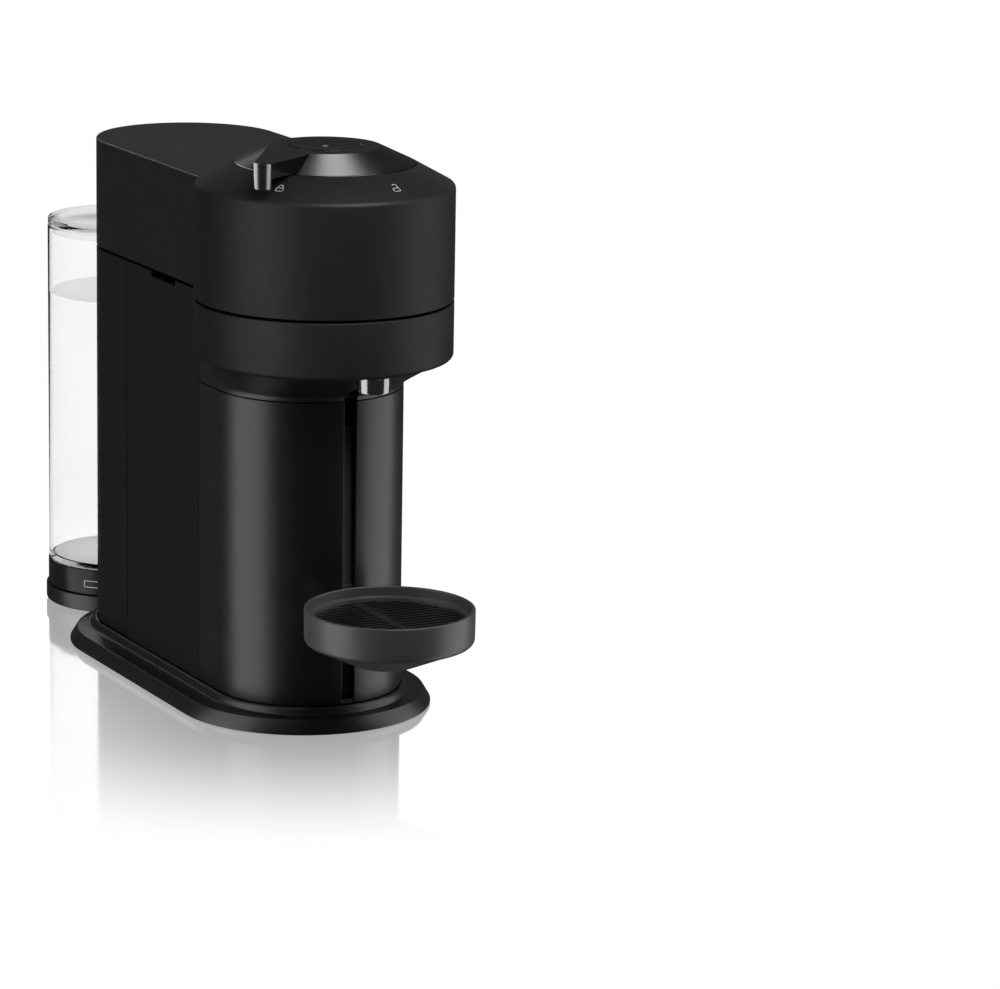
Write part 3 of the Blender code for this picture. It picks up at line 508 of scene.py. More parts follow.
def make_rear_shell(materials):
    """The half-round rear of the body, with the hinge's notch and the cord's hole."""
    bm = bmesh.new()
    path = side_path(REAR_Y, 90, 180, REAR_SEAM)
    swept_wall(bm, mirrored(reversed(path))[:-1] + path, wall_section(BODY_Z, COLLAR_HIGH))
    shell = finish(bm, "rear_cover")
    notch_low, above = 225.5 * MM, COLLAR_HIGH + 5 * MM
    notch = block("notch", (-HINGE_NOTCH_HALF, REAR_Y, notch_low), (HINGE_NOTCH_HALF, TANK_Y, above))
    boolean(shell, notch)
    hole = circle(5.3 * MM, 0, middle("cord_gland", 2), 64, middle("cord_gland", 0))
    drill = loft("drill", [[(x, y, z) for x, z, _ in hole] for y in (REAR_Y + 20 * MM, TANK_Y)])
    boolean(shell, drill)
    shell.data.materials.append(materials["black_matte"])
    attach(shell, "base")
    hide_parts("rear_shell")


def make_container_front(materials):
    """The glossy half-round column, in two wings either side of the guide slot."""
    low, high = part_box("container_front")
    slot_angle = degrees(asin(SLOT_HALF / BODY_R))
    section = wall_section(low.z, high.z, 0.35 * MM)
    right = side_path(COLUMN_Y, -90 + slot_angle, 0, FRONT_SEAM)
    bm = bmesh.new()
    for wing in (mirrored(right), right):
        swept_wall(bm, wing, section)
    look = slot_look(materials, "black_gloss", "container")
    finish(bm, "column_cover", replaces=["container_front"], bevel=0.5 * MM, **look)


def make_slot_guide(materials):
    """Two dark rails inside the column, either side of its slot, on a sill."""
    low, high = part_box("container_front")
    half, rail, flange = SLOT_HALF + 0.6 * MM, 1.2 * MM, 3.4 * MM
    front = COLUMN_Y - BODY_R + 0.6 * MM
    back = COLUMN_Y - sqrt(BODY_R**2 - (SLOT_HALF + flange) ** 2) + 5.8 * MM
    bm = bmesh.new()
    for side in (-1, 1):
        x0, x1 = sorted((side * half, side * (half + rail)))
        outline = [(x0, front + WALL), (x1, front + WALL), (x1, back), (x0, back)]
        prism_into(bm, outline, low.z + 3 * MM, high.z - 1 * MM)
    sill = [(-half - flange, front), (half + flange, front), (half + flange, back), (-half - flange, back)]
    prism_into(bm, sill, low.z, low.z + 2.4 * MM)
    finish(bm, "slot_guide", materials["slot_dark"], "container", slot="black_gloss", bevel=0.2 * MM)


def neck_outline(share, grow=0.0):
    """The column's outline, pushed out from the head's axis by a share of the way to the neck's top."""
    back = FRONT_SEAM - PANEL_GAP
    steps = 10
    side = [(BODY_R + grow, COLUMN_Y + (back - COLUMN_Y) * i / steps) for i in range(steps + 1)]
    left = [(-x, y) for x, y in reversed(side)]
    outline = left + arc(COLUMN_Y, BODY_R + grow, -180, 0, 120)[1:-1] + side
    pushed = []
    for x, y in outline:
        reach = hypot(x, y - HEAD_Y)
        factor = 1 + share * max(0.0, NECK_TOP_R / reach - 1)
        pushed.append((x * factor, HEAD_Y + (y - HEAD_Y) * factor))
    return pushed


def make_neck(materials):
    """The flare from the column's outline to the circle under the head: a fillet, then a slope."""
    low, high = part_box("neck")
    rings = []
    for grow, rise in ((-0.6, 0.0), (-0.2, 0.06), (0.0, 0.3)):
        rings.append(at_height(neck_outline(0.0, grow * MM), low.z + rise * MM))
    slope_start = low.z + FLARE_FILLET * sin(FLARE_ANGLE)
    spread = FLARE_FILLET * (1 - cos(FLARE_ANGLE)) + (high.z - slope_start) * tan(FLARE_ANGLE)
    fillet_steps, slope_steps = 14, 6
    for i in range(2, fillet_steps + 1):
        turn = FLARE_ANGLE * i / fillet_steps
        share = FLARE_FILLET * (1 - cos(turn)) / spread
        rings.append(at_height(neck_outline(share), low.z + FLARE_FILLET * sin(turn)))
    slope_share = 1 - FLARE_FILLET * (1 - cos(FLARE_ANGLE)) / spread
    for i in range(1, slope_steps + 1):
        height = slope_start + (high.z - slope_start) * i / slope_steps
        rings.append(at_height(neck_outline(1 - slope_share * (1 - i / slope_steps)), height))
    neck = loft("neck_flare", rings)
    inner = BODY_R - 4 * MM
    back = FRONT_SEAM - 4 * MM
    hollow_top, slot_top = 195.5 * MM, 192.5 * MM
    under, over = low.z - OVERCUT, high.z + OVERCUT
    hollow = [(-inner, back), *arc(COLUMN_Y, inner, -180, 0, SMALL_STEPS), (inner, back)]
    boolean(neck, prism("hollow", hollow, under, hollow_top))
    boolean(neck, plug("motor_gap", 30 * MM, HEAD_Y, under, over))
    boolean(neck, plug("spout_gap", corner("coffee_spout", HIGH).x + 0.4 * MM, SPOUT_Y, under, over))
    slot_back = COLUMN_Y - BODY_R + 6 * MM
    slot = block("slot_end", (-SLOT_HALF, SPOUT_Y, low.z - 2 * MM), (SLOT_HALF, slot_back, slot_top))
    boolean(neck, slot)
    neck.data.materials.append(materials["black_gloss"])
    even_shading(neck)
    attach(neck, "base")
    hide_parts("neck")


# ---------------- head


def make_collar(materials):
    """The ring under the lid's seam, open above, with the spout's hole through its floor."""
    edge = 2.6 * MM
    hub, inner = 34.2 * MM, 64 * MM
    floor = COLLAR_LOW + 4 * MM
    corners = [
        (hub, COLLAR_LOW, EDGE),
        (HEAD_R, COLLAR_LOW, edge),
        (HEAD_R, COLLAR_HIGH, 0.45 * MM),
        (inner, COLLAR_HIGH, 0.4 * MM),
        (inner, floor, 0.8 * MM),
        (hub, floor, 0.4 * MM),
    ]
    collar = turned("collar_ring", corners, HEAD_Y)
    spout_gap = SPOUT_STEM_R + PANEL_GAP
    boolean(collar, plug("spout_gap", spout_gap, SPOUT_Y, COLLAR_LOW - OVERCUT, floor + OVERCUT))
    collar.data.materials.append(materials["black_matte"])
    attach(collar, "base")
    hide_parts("collar")


def make_head_cover(materials):
    """The head's upper shell, with a rounded rim, a conical top and a doorway in its rear wall."""
    seat, edge = 301.0 * MM, RING_BASE_R + 0.35 * MM
    hub, inner, inner_rim_z = 24 * MM, HEAD_R - WALL, 289.3 * MM
    corners = [
        (HEAD_R, LID_LOW, 0.45 * MM),
        (HEAD_R, RIM_Z, 3.2 * MM),
        (edge, cone_height(edge), EDGE),
        (edge, seat, CRISP_EDGE),
        (hub, seat, CRISP_EDGE),
        (hub, seat - WALL, CRISP_EDGE),
        (50 * MM, seat - WALL, 1.0 * MM),
        (inner, inner_rim_z, 1.0 * MM),
        (inner, LID_LOW, EDGE),
    ]
    cover = turned("head_shell", corners, HEAD_Y)
    door_half, door_top = 36.4 * MM, 237.4 * MM
    door_low = (-door_half, HEAD_Y + 40 * MM, UNDER_LID)
    boolean(cover, block("doorway", door_low, (door_half, HEAD_Y + 80 * MM, door_top)))
    cover.data.materials.append(materials["black_matte"])
    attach(cover, "lid")
    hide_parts("head_cover")


def make_rear_cap(materials):
    """The flat lid behind the head: a wall with a rounded top edge round a flat top."""
    gap = HEAD_R + PANEL_GAP
    inner = BODY_R - WALL
    steps, gap_steps = SMALL_STEPS, 32

    def at_gap(x):
        return HEAD_Y + sqrt(gap * gap - x * x)

    corners = [
        (BODY_R, LID_LOW, 0.4 * MM),
        (BODY_R, CAP_TOP, 1.3 * MM),
        (inner, CAP_TOP, 0),
        (inner, LID_LOW, EDGE),
    ]
    section = rounded(corners, 6)
    rings = [[(radius, at_gap(radius), height) for radius, height in section]]
    for step in range(steps + 1):
        angle = pi * step / steps
        across, along = cos(angle), sin(angle)
        rings.append([(radius * across, REAR_Y + radius * along, height) for radius, height in section])
    rings.append([(-radius, at_gap(radius), height) for radius, height in section])
    bm = bmesh.new()
    loft_into(bm, rings)
    outline = [(inner, at_gap(inner)), *arc(REAR_Y, inner, 0, 180, steps), (-inner, at_gap(inner))]
    half = degrees(asin(inner / gap))
    outline += arc(HEAD_Y, gap, 90 + half, 90 - half, gap_steps)[1:-1]
    prism_into(bm, outline, CAP_TOP - WALL, CAP_TOP)
    cap = finish(bm, "lid_cap")
    notch_low = (-HINGE_NOTCH_HALF, REAR_Y + 30 * MM, UNDER_LID)
    boolean(cap, block("notch", notch_low, (HINGE_NOTCH_HALF, TANK_Y, 234.8 * MM)))
    cap.data.materials.append(materials["black_matte"])
    even_shading(cap)
    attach(cap, "lid")
    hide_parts("rear_cap")


def lever_point(side, radius):
    """A point in plan at a radius from the head's axis, at an angle to the side of the lever."""
    angle = radians(LEVER_ANGLE + side)
    return (-radius * sin(angle), HEAD_Y - radius * cos(angle))


def make_grip():
    """The blade that hangs from the arm's end over the rim, a little narrower and rounded below."""
    # In mm: across the blade, and outward from the head's axis
    section = [(5.2, 66.9), (5.0, 66.8), (-5.0, 66.8), (-5.2, 66.9)]
    round_steps = 20
    for step in range(round_steps + 1):
        angle = pi * step / round_steps
        section.append((-5.3 * cos(angle), 67.75 + 3.0 * sin(angle)))
    turn = radians(LEVER_ANGLE)
    across = (cos(turn), -sin(turn))
    outward = (-sin(turn), -cos(turn))
    centre = 68.8
    # Height in mm, and the section's width and depth there as shares of the full ones
    levels = [
        (298.10, 0.72, 0.62), (298.22, 0.80, 0.74), (298.60, 0.88, 0.86), (299.30, 0.92, 0.93),
        (301.0, 0.94, 0.96), (306.0, 0.97, 0.98), (312.45, 1.0, 1.0),
    ]
    rings = []
    for height, width, depth in levels:
        ring = []
        for sideways, out in section:
            u, v = sideways * width * MM, (centre + (out - centre) * depth) * MM
            x, y = across[0] * u + outward[0] * v, HEAD_Y + across[1] * u + outward[1] * v
            ring.append((x, y, height * MM))
        rings.append(ring)
    return loft("grip", rings)


def make_lever(materials):
    """The conical ring, its teardrop arm and the grip over the head's rim."""
    hole, spigot = BUTTON_R + 0.4 * MM, 23.6 * MM
    seat, low = 301.3 * MM, 290 * MM
    corners = [
        (hole, low, EDGE),
        (spigot, low, EDGE),
        (spigot, seat, CRISP_EDGE),
        (RING_BASE_R, seat, CRISP_EDGE),
        (RING_BASE_R, RING_BASE_Z, 0.35 * MM),
        (RING_FLAT_R, RING_TOP, 0.9 * MM),
        (hole, RING_TOP, 0.35 * MM),
    ]
    lever = turned("lever_ring", corners, HEAD_Y)
    # Degrees from the lever's middle line, and mm from the head's axis
    around = [(66, 29.9), (4.3, 67.6), (-4.4, 67.6), (-9.1, 43.2), (-12.5, 30.5), (5, 25.0), (40, 25.0)]
    outline = [lever_point(side, radius * MM) for side, radius in around]
    arm_low, arm_high = 304.6 * MM, RING_TOP - 0.2 * MM
    arm = prism("arm", outline, arm_low, arm_high)
    boolean(arm, make_grip(), "UNION")
    boolean(lever, arm, "UNION")
    lever.data.materials.append(materials["dark_chrome"])
    add_bevel(lever, 0.45 * MM)
    even_shading(lever)
    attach(lever, "lever")
    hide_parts("lever")


def make_button(materials):
    """A shallow dished button with a small ring lamp in its middle."""
    low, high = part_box("power_button")
    r, top, under = BUTTON_R, high.z, 309.5 * MM
    dish = top - 0.9 * MM
    stem = 5 * MM
    corners = [
        (0, dish, 0),
        (3.0 * MM, dish, 0),
        (r - 2.2 * MM, top - 0.15 * MM, 3.0 * MM),
        (r - 0.7 * MM, top, 1.2 * MM),
        (r, top - 0.5 * MM, 0.4 * MM),
        (r, under, EDGE),
        (stem, under, CRISP_EDGE),
        (stem, low.z, EDGE),
        (0, low.z, 0),
    ]
    look = slot_look(materials, "black_gloss", "button")
    turned("button_cap", corners, HEAD_Y, SMALL_STEPS, replaces=["power_button"], **look)
    lamp_inner, lamp_outer, lamp_top = 0.95 * MM, 1.25 * MM, dish + 0.10 * MM
    ring = [(lamp_inner, lamp_top), (lamp_outer, lamp_top), (lamp_outer, dish), (lamp_inner, dish)]
    lamp = [(radius, height, 0.02 * MM) for radius, height in ring]
    turned("status_light", lamp, HEAD_Y, 48, material=materials["icon_print"], body="button")


def stroke(bm, points, width, place):
    """A flat ribbon along 2-D points, lifted into 3-D by a function."""
    edges = []
    for index, point in enumerate(points):
        before = Vector(points[max(index - 1, 0)])
        after = Vector(points[min(index + 1, len(points) - 1)])
        along = (after - before).normalized()
        across = Vector((-along.y, along.x)) * width / 2
        edges.append([bm.verts.new(place(*(Vector(point) + side * across))) for side in (-1, 1)])
    for (a, b), (c, d) in zip(edges, edges[1:]):
        bm.faces.new((a, b, d, c))


def on_cone(angle, radius):
    """A function that puts a point of a drawing in millimetres on the head's cone.
    The drawing's middle is at an angle in degrees towards the left side, and at a radius."""
    turn = radians(angle)
    slope = atan2(RING_BASE_Z - RIM_Z, HEAD_R - RING_BASE_R)
    outward = Vector((-sin(turn), -cos(turn), 0))
    across = Vector((0, 0, 1)).cross(outward)
    upward = Vector((0, 0, sin(slope))) - outward * cos(slope)
    centre = Vector((0, HEAD_Y, cone_height(radius))) + outward * radius
    lift = across.cross(upward).normalized() * 0.07 * MM
    if lift.z < 0:
        lift.negate()

    def place(u, v):
        return centre + across * ICON_SCALE * u * MM + upward * ICON_SCALE * v * MM + lift

    return place


def padlock(opened):
    """A padlock's body and shackle, as lines of points in the icon's own millimetres."""
    body = [(-1.7, -0.1), (-1.9, -2.0), (-1.2, -2.6), (1.2, -2.6), (1.9, -2.0), (1.7, -0.1), (-1.7, -0.1)]
    start, swing = (-25, 0.9) if opened else (0, 0.0)
    steps = 12
    shackle = [(1.15 + swing * 0.6, -0.1 + swing * 0.4)]
    for step in range(steps + 1):
        angle = radians(start + 180 * step / steps)
        shackle.append((swing * 0.6 + 1.15 * cos(angle), 1.0 + swing * 0.7 + 1.15 * sin(angle)))
    if not opened:
        shackle.append((-1.15, -0.1))
    return body, shackle


def make_lock_icons(materials):
    """Two padlock pictograms printed on the cone: shut beside the lever, open to the right."""
    for name, angle, radius, opened in (
        ("icon_locked", 50.0, 58.5 * MM, False),
        ("icon_open", -11.5, 59.5 * MM, True),
    ):
        place = on_cone(angle, radius)
        bm = bmesh.new()
        for line in padlock(opened):
            stroke(bm, line, ICON_LINE, place)
        icon = finish(bm, name, materials["icon_print"])
        modifier = icon.modifiers.new("film", "SOLIDIFY")
        modifier.thickness = 0.04 * MM
        modifier.offset = 0
        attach(icon, "lid")


def make_spout(materials):
    """The coffee's nozzle, with the narrower stem that goes up through the collar."""
    low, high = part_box("coffee_spout")
    body, stem, bore = high.x, SPOUT_STEM_R, 4 * MM
    step = COLLAR_LOW - PANEL_GAP
    corners = [
        (bore, low.z + 0.4 * MM, EDGE),
        (body - 2.5 * MM, low.z, 0.5 * MM),
        (body, low.z, 0.9 * MM),
        (body, step, CRISP_EDGE),
        (stem, step, CRISP_EDGE),
        (stem, high.z, CRISP_EDGE),
        (bore, high.z, CRISP_EDGE),
    ]
    look = slot_look(materials, "chrome", "base")
    turned("spout_nozzle", corners, SPOUT_Y, SMALL_STEPS, replaces=["coffee_spout"], **look)


# ---------------- cup support


def make_cup_support(materials):
    """The dish with its drip well, its conical underside and the stem through the slot."""
    top, under = SUPPORT_TOP, 58.7 * MM
    ledge = top - 5.4 * MM
    well_r, well_floor = 41 * MM, 62.5 * MM
    corners = [
        (0, well_floor, 0),
        (well_r, well_floor, 1.6 * MM),
        (well_r, ledge, EDGE),
        (43.6 * MM, ledge, EDGE),
        (43.4 * MM, top, 0.6 * MM),
        (SUPPORT_R, top, 0.8 * MM),
        (SUPPORT_R - 0.2 * MM, under, 3.4 * MM),
        (0, under, 0),
    ]
    dish = turned("support_dish", corners, SUPPORT_Y)
    # In mm: how far the foot's ring lies behind the dish's axis, its radius and its height
    foot = [
        (0.0, 41.6, 60.0), (0.0, 41.4, 58.5), (0.1, 40.6, 58.1),
        (4.2, 17.6, 46.5), (4.5, 15.6, 45.75), (4.6, 13.5, 45.55),
    ]
    rings = [circle(radius * MM, height * MM, SUPPORT_Y + back * MM) for back, radius, height in foot]
    boolean(dish, loft("foot", rings), "UNION")
    slot_y = COLUMN_Y - BODY_R
    half = SLOT_HALF - 0.4 * MM
    stem = block("stem", (-half, SUPPORT_Y + 44.2 * MM, 53.5 * MM), (half, slot_y + 4.4 * MM, 70 * MM))
    boolean(dish, stem, "UNION")
    carriage_half = 8 * MM
    carriage_low = (-carriage_half, slot_y + 3.7 * MM, 50 * MM)
    boolean(dish, block("carriage", carriage_low, (carriage_half, slot_y + 5.6 * MM, 78 * MM)), "UNION")
    dish.data.materials.append(materials["support_grey"])
    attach(dish, "support")
    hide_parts("cup_support")


def slot_outline(start, end, middle_y, width):
    """A slot along X with half-round ends, in plan."""
    radius = width / 2
    steps = 8
    outline = []
    for tip, inward, first in ((end, -1, -90), (start, 1, 90)):
        for step in range(steps + 1):
            angle = radians(first + 180 * step / steps)
            x, y = tip + radius * (inward + cos(angle)), middle_y + radius * sin(angle)
            outline.append((x, y))
    return outline


def make_drip_grid(materials):
    """The round grid: rows of slots with rounded ends, either side of a middle bar."""
    low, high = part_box("drip_grid")
    radius = high.x
    corners = [(0, high.z, 0), (radius, high.z, 0.5 * MM), (radius, low.z, 0.3 * MM), (0, low.z, 0)]
    grid = turned("grid_plate", corners, SUPPORT_Y)
    pitch, width = 4.6 * MM, 2.4 * MM
    gap, margin = 2.2 * MM, 3.5 * MM
    rows = 8
    bm = bmesh.new()
    for row in range(-rows, rows + 1):
        y = row * pitch
        room = (radius - margin) ** 2 - (abs(y) + width / 2) ** 2
        reach = sqrt(room) if room > 0 else 0
        if reach < 4 * gap:
            continue
        for side in (-1, 1):
            slot = slot_outline(*sorted((side * gap, side * reach)), y, width)
            prism_into(bm, [(px, SUPPORT_Y + py) for px, py in slot], low.z - 2 * MM, high.z + 2 * MM)
    boolean(grid, finish(bm, "slots"))
    grid.data.materials.append(materials["grid_black"])
    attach(grid, "grid")
    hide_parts("drip_grid")


# ---------------- tank


def make_tank(materials):
    """The tank's clear wall and floor, with the valve's hole in the middle."""
    low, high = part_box("tank")
    hole = 7 * MM
    corners = [
        (hole, low.z, EDGE),
        (TANK_R, low.z, 1.2 * MM),
        (TANK_R, high.z, 0.6 * MM),
        (TANK_INNER_R, high.z, 0.5 * MM),
        (TANK_INNER_R, TANK_FLOOR, 2.0 * MM),
        (hole, TANK_FLOOR, EDGE),
    ]
    turned("tank_shell", corners, TANK_Y, replaces=["tank"], **slot_look(materials, "clear_plastic", "tank"))


def make_water(materials):
    """The water, with a grey film on its surface that paints the surface's reflection, and a pale disc on
    the tank's floor.
    """
    surface = 186.5 * MM
    overlap = 0.05 * MM  # into the tank's wall and floor, so that no air is left between
    edge, bottom = TANK_INNER_R + overlap, TANK_FLOOR - overlap
    water = [
        (0, surface, 0),
        (TANK_INNER_R - 1.2 * MM, surface, 0),
        (edge, surface + 0.5 * MM, CRISP_EDGE),
        (edge, bottom, 2.0 * MM),
        (0, bottom, 0),
    ]
    turned("tank_water", water, TANK_Y, material=materials["water"], body="tank")
    # A thin grey film just over the water's surface: painted reflection of that surface, not a colour the
    # water has
    reflection_r, reflection_low, reflection_high = TANK_INNER_R - 0.4 * MM, surface + 0.1 * MM, surface + 0.3 * MM
    reflection_profile = [(0, reflection_high, 0), (reflection_r, reflection_high, 0), (reflection_r, reflection_low, 0), (0, reflection_low, 0)]
    turned("tank_water_painted_reflection", reflection_profile, TANK_Y, material=materials["water_painted_reflection"], body="tank")
    disc_low = corner("tank", LOW).z + 2.6 * MM
    disc_high = disc_low + 0.3 * MM
    hole, rim = 12.5 * MM, TANK_INNER_R - 2.2 * MM
    disc = [(hole, disc_low, 0), (rim, disc_low, 0), (rim, disc_high, 0), (hole, disc_high, 0)]
    turned("tank_floor_disc", disc, TANK_Y, material=materials["tank_floor"], body="tank")


def make_tank_lid(materials):
    """The tank's clear lid: a rim on the wall, a spigot inside it and a sunk middle."""
    low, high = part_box("tank_lid")
    under, over = 226.6 * MM, 228.4 * MM
    rim = corner("tank", HIGH).z + 0.4 * MM
    lip = TANK_INNER_R - 4.3 * MM
    corners = [
        (0, under, 0),
        (TANK_INNER_R - 1.8 * MM, under, EDGE),
        (TANK_INNER_R - 1.8 * MM, low.z, EDGE),
        (TANK_INNER_R - 0.4 * MM, low.z, EDGE),
        (TANK_INNER_R - 0.4 * MM, rim, 0.1 * MM),
        (high.x, rim, 0.4 * MM),
        (high.x, high.z, 1.0 * MM),
        (lip, high.z, 0.6 * MM),
        (lip, over, 0.6 * MM),
        (0, over, 0),
    ]
    look = dict(material=materials["lid_clear"], slot="clear_plastic")
    turned("tank_cover_disc", corners, TANK_Y, body="tank_cover", replaces=["tank_lid"], **look)


def make_tank_base(materials):
    """The dark ring under the tank."""
    low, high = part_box("tank_base")
    floor = low.z + 10 * MM
    hole, inner = 12.5 * MM, 37 * MM
    corners = [
        (hole, floor, EDGE),
        (inner, floor, 0.5 * MM),
        (inner, low.z, 0.4 * MM),
        (high.x, low.z, 0.5 * MM),
        (high.x, high.z, 0.6 * MM),
        (hole, high.z, EDGE),
    ]
    look = slot_look(materials, "tank_base_dark", "tank")
    turned("tank_foot_ring", corners, TANK_Y, replaces=["tank_base"], **look)


def make_tank_mark(materials):
    """The thin frame printed on the left side of the dark ring, from four strips."""
    low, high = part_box("tank_base")
    centre_angle, half_angle, side_angle = 223.5, 7.5, 0.5
    bottom, top, line = low.z + 4.5 * MM, low.z + 8.5 * MM, 0.35 * MM
    radii = (high.x - 0.2 * MM, high.x + 0.12 * MM)
    strips = [
        (-half_angle, half_angle, bottom, bottom + line),
        (-half_angle, half_angle, top - line, top),
        (-half_angle, -half_angle + side_angle, bottom, top),
        (half_angle - side_angle, half_angle, bottom, top),
    ]
    steps = 12
    bm = bmesh.new()
    for start, end, z0, z1 in strips:
        inner, outer = (arc(TANK_Y, r, centre_angle + start, centre_angle + end, steps) for r in radii)
        for i in range(steps):
            outline = [inner[i], outer[i], outer[i + 1], inner[i + 1]]
            prism_into(bm, outline, z0, z1)
    bmesh.ops.remove_doubles(bm, verts=bm.verts, dist=0.001 * MM)
    finish(bm, "tank_foot_mark", materials["icon_print"], "tank", slot="tank_base_dark")


# ---------------- camera, floor and light

# The camera's angles in degrees, its places in metres and its lens in millimetres
CAMERA_AZIMUTH = 26.62
CAMERA_PITCH = 13.50
CAMERA_PAN = 2.325
CAMERA_ROLL = 1.028
CAMERA_DISTANCE = 2.3708
CAMERA_HEIGHT = 0.6921
CAMERA_LENS = 161.95

SURROUND_DIM = 0.05  # the world's strength in what the object mirrors
MIRROR_FRONT, MIRROR_REAR = -75 * MM, 150 * MM  # ends of the middle line that the mirror fades from
ON_OBJECT, ON_FLOOR, UNDER_FLOOR = (0, 0, 0.15), (0, 0, 0), (0, 0, -0.1)  # what the lights aim at


def make_camera():
    """Level distance and azimuth are from the head's axis. Pan and roll are small turns after them."""
    azimuth = radians(CAMERA_AZIMUTH)
    yaw = radians(CAMERA_AZIMUTH + CAMERA_PAN)
    pitch = radians(CAMERA_PITCH)
    roll = radians(CAMERA_ROLL)
    x, y = -CAMERA_DISTANCE * sin(azimuth), HEAD_Y - CAMERA_DISTANCE * cos(azimuth)
    place = Vector((x, y, CAMERA_HEIGHT))
    forward = Vector((sin(yaw) * cos(pitch), cos(yaw) * cos(pitch), -sin(pitch)))
    right = Vector((cos(yaw), -sin(yaw), 0))
    up = right.cross(forward)
    rolled_right = right * cos(roll) + up * sin(roll)
    rolled_up = up * cos(roll) - right * sin(roll)
    camera = add_to_scene("camera", bpy.data.cameras.new("camera"))
    camera.data.lens = CAMERA_LENS
    camera.data.sensor_width = 36.0
    camera.data.clip_end = 50
    axes = Matrix((rolled_right, rolled_up, -forward)).transposed().to_4x4()
    camera.matrix_world = Matrix.Translation(place) @ axes
    bpy.context.scene.camera = camera


def make_floor():
    """A wide white floor, glossy near the object only. It doesn't light or mirror itself in the object."""
    bm = bmesh.new()
    bmesh.ops.create_grid(bm, x_segments=2, y_segments=2, size=12.0)
    mesh = bpy.data.meshes.new("floor")
    bm.to_mesh(mesh)
    bm.free()
    floor = add_to_scene("floor", mesh)
    mesh.materials.append(floor_material())
    floor.visible_diffuse = False
    floor.visible_glossy = False
    floor.visible_shadow = False
    return floor


def vector_step(tree, operation, first, second):
    """A vector maths node on two inputs, each an output of another node or a fixed vector."""
    node = tree.nodes.new("ShaderNodeVectorMath")
    node.operation = operation
    for socket, value in zip(node.inputs, (first, second)):
        if isinstance(value, tuple):
            socket.default_value = value
        else:
            tree.links.new(value, socket)
    return node.outputs["Value" if operation == "DISTANCE" else "Vector"]


def floor_material():
    """White, with a mirror layer that fades with the distance from the object's middle line."""
    material = bpy.data.materials.new("white_floor")
    material.use_nodes = True
    tree = material.node_tree
    tree.nodes.clear()
    place = tree.nodes.new("ShaderNodeTexCoord").outputs["Object"]
    before_rear = vector_step(tree, "MINIMUM", place, (0, MIRROR_REAR, 0))
    along = vector_step(tree, "MAXIMUM", before_rear, (0, MIRROR_FRONT, 0))
    nearest = vector_step(tree, "MULTIPLY", along, (0, 1, 0))
    fade = add_node(tree, "ShaderNodeMapRange", From_Min=0.05, From_Max=0.27, To_Min=0.63, To_Max=0.0)
    fade.interpolation_type = "SMOOTHSTEP"
    tree.links.new(vector_step(tree, "DISTANCE", place, nearest), fade.inputs["Value"])
    glow = add_node(tree, "ShaderNodeEmission", Color=(1, 1, 1, 1), Strength=1.0)
    mirror = add_node(tree, "ShaderNodeBsdfGlossy", Color=(1, 1, 1, 1), Roughness=0.08)
    mixed = tree.nodes.new("ShaderNodeMixShader")
    tree.links.new(fade.outputs["Result"], mixed.inputs["Fac"])
    tree.links.new(glow.outputs["Emission"], mixed.inputs[1])
    tree.links.new(mirror.outputs["BSDF"], mixed.inputs[2])
    output = tree.nodes.new("ShaderNodeOutputMaterial")
    tree.links.new(mixed.outputs["Shader"], output.inputs["Surface"])
    return material


def area_light(name, azimuth, elevation, distance, size, power, aim=ON_OBJECT):
    """A soft box that looks at a point. Azimuth 0 is in front, and 90 is on the right."""
    data = bpy.data.lights.new(name, "AREA")
    data.shape = "RECTANGLE"
    data.size, data.size_y = size
    data.energy = power
    light = add_to_scene(name, data)
    a, e = radians(azimuth), radians(elevation)
    target = Vector(aim)
    away = Vector((sin(a) * cos(e), -cos(a) * cos(e), sin(e)))
    light.location = target + away * distance
    light.rotation_euler = away.to_track_quat("Z", "Y").to_euler()
    return light


def only_on(light, receivers):
    """Lets a light reach some objects and nothing else."""
    group = bpy.data.collections.new(light.name + "_receivers")
    for receiver in receivers:
        group.objects.link(receiver)
    light.light_linking.receiver_collection = group


def make_world():
    """White behind the object and through clear plastic, dim in what the object mirrors."""
    world = bpy.data.worlds.new("surround")
    world.use_nodes = True
    tree = world.node_tree
    background = tree.nodes["Background"]
    background.inputs["Color"].default_value = (1.0, 1.0, 1.0, 1.0)
    path = tree.nodes.new("ShaderNodeLightPath")
    seen = tree.nodes.new("ShaderNodeMath")
    seen.operation = "MAXIMUM"
    tree.links.new(path.outputs["Is Camera Ray"], seen.inputs[0])
    tree.links.new(path.outputs["Is Transmission Ray"], seen.inputs[1])
    strength = add_node(tree, "ShaderNodeMapRange", To_Min=SURROUND_DIM, To_Max=1.0)
    tree.links.new(seen.outputs["Value"], strength.inputs["Value"])
    tree.links.new(strength.outputs["Result"], background.inputs["Strength"])
    bpy.context.scene.world = world


def uses(piece, name):
    return any(material and material.name == name for material in piece.data.materials)


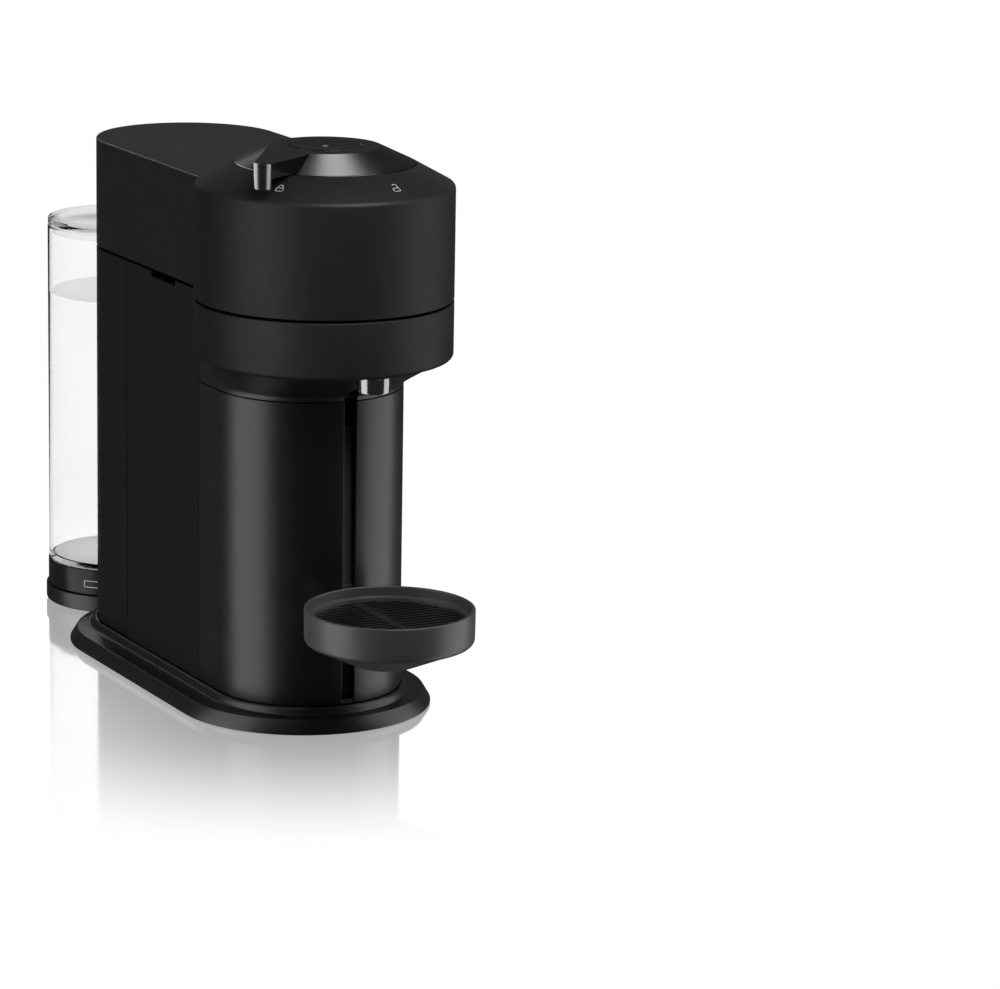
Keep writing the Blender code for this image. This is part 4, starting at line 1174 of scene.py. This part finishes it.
def light_object(floor):
    """Soft boxes for the pieces of each finish: tall ones at the sides, others above and behind."""
    meshes = [piece for piece in bpy.context.scene.objects if piece.type == "MESH" and piece != floor]
    satin = [piece for piece in meshes if uses(piece, "satin_black")]
    chrome = [piece for piece in meshes if uses(piece, "smoked_chrome")]
    shiny = [piece for piece in meshes if piece not in satin and piece not in chrome]
    base = [piece for piece in shiny if piece.name == "base_shell"]
    cap = [piece for piece in satin if piece.name == "lid_cap"]
    # Name, azimuth, elevation, distance, size, power and aim, and what it lights
    boxes = [
        ("left_box", -97, 0, 1.6, (1.5, 4.6), 48.0, UNDER_FLOOR, shiny),
        ("right_box", 67, 0, 1.6, (1.42, 4.6), 37.0, UNDER_FLOOR, shiny),
        ("left_soft_box", -80, 0, 1.6, (1.5, 2.6), 11.8, ON_FLOOR, satin),
        ("right_soft_box", 64, 0, 1.6, (1.5, 2.6), 8.2, ON_FLOOR, satin),
        ("front_box", 10, 55, 2.0, (1.2, 1.2), 25.0, ON_OBJECT, satin + shiny),
        ("rear_box", 153, 22, 2.0, (3.0, 1.5), 1.4, ON_OBJECT, satin),
        ("rear_gloss_box", 153, 22, 2.0, (3.0, 1.5), 0.5, ON_OBJECT, shiny),
        ("rear_left_box", -172, 30, 2.0, (0.7, 0.4), 1.0, ON_OBJECT, base),
        ("ring_top", 141, 63, 1.5, (0.3, 0.5), 1.2, ON_OBJECT, chrome),
        ("ring_left", 174, 26, 2.0, (0.5, 0.5), 0.3, ON_OBJECT, chrome),
        ("grip_left", -142, 0, 1.6, (2.5, 1.6), 30.0, ON_OBJECT, chrome),
        ("grip_right", 6, 0, 1.6, (2.0, 1.6), 17.0, ON_OBJECT, chrome),
        ("edge_box", -162, 26, 2.0, (0.5, 0.3), 4.0, ON_OBJECT, cap),
    ]
    for *settings, receivers in boxes:
        only_on(area_light(*settings), receivers)


def light_floor(floor):
    """Lights for the floor's mirror layer to reflect: one on each side of the view, and one above."""
    for side, turn in (("rear", 180), ("front", 0), ("left", -90), ("right", 90)):
        backdrop = area_light(f"backdrop_{side}", turn - CAMERA_AZIMUTH, 16, 3.0, (9.0, 3.6), 108)
        only_on(backdrop, [floor])
    only_on(area_light("backdrop_top", 0, 89, 3.0, (5.0, 5.0), 83), [floor])


def set_view():
    settings = bpy.context.scene.view_settings
    settings.view_transform = "Standard"
    settings.look = "None"


def build():
    make_camera()
    floor = make_floor()
    materials = make_materials()
    dress_cad_nodes(materials)
    makers = [
        make_base, make_tank_platform,
        make_side_panels, make_rear_shell, make_container_front, make_slot_guide,
        make_neck, make_collar, make_head_cover, make_rear_cap,
        make_lever, make_button, make_lock_icons,
        make_spout, make_cup_support, make_drip_grid,
        make_tank, make_water, make_tank_lid,
        make_tank_base, make_tank_mark,
    ]
    for make in makers:
        make(materials)
    make_world()
    light_object(floor)
    light_floor(floor)
    set_view()


build()
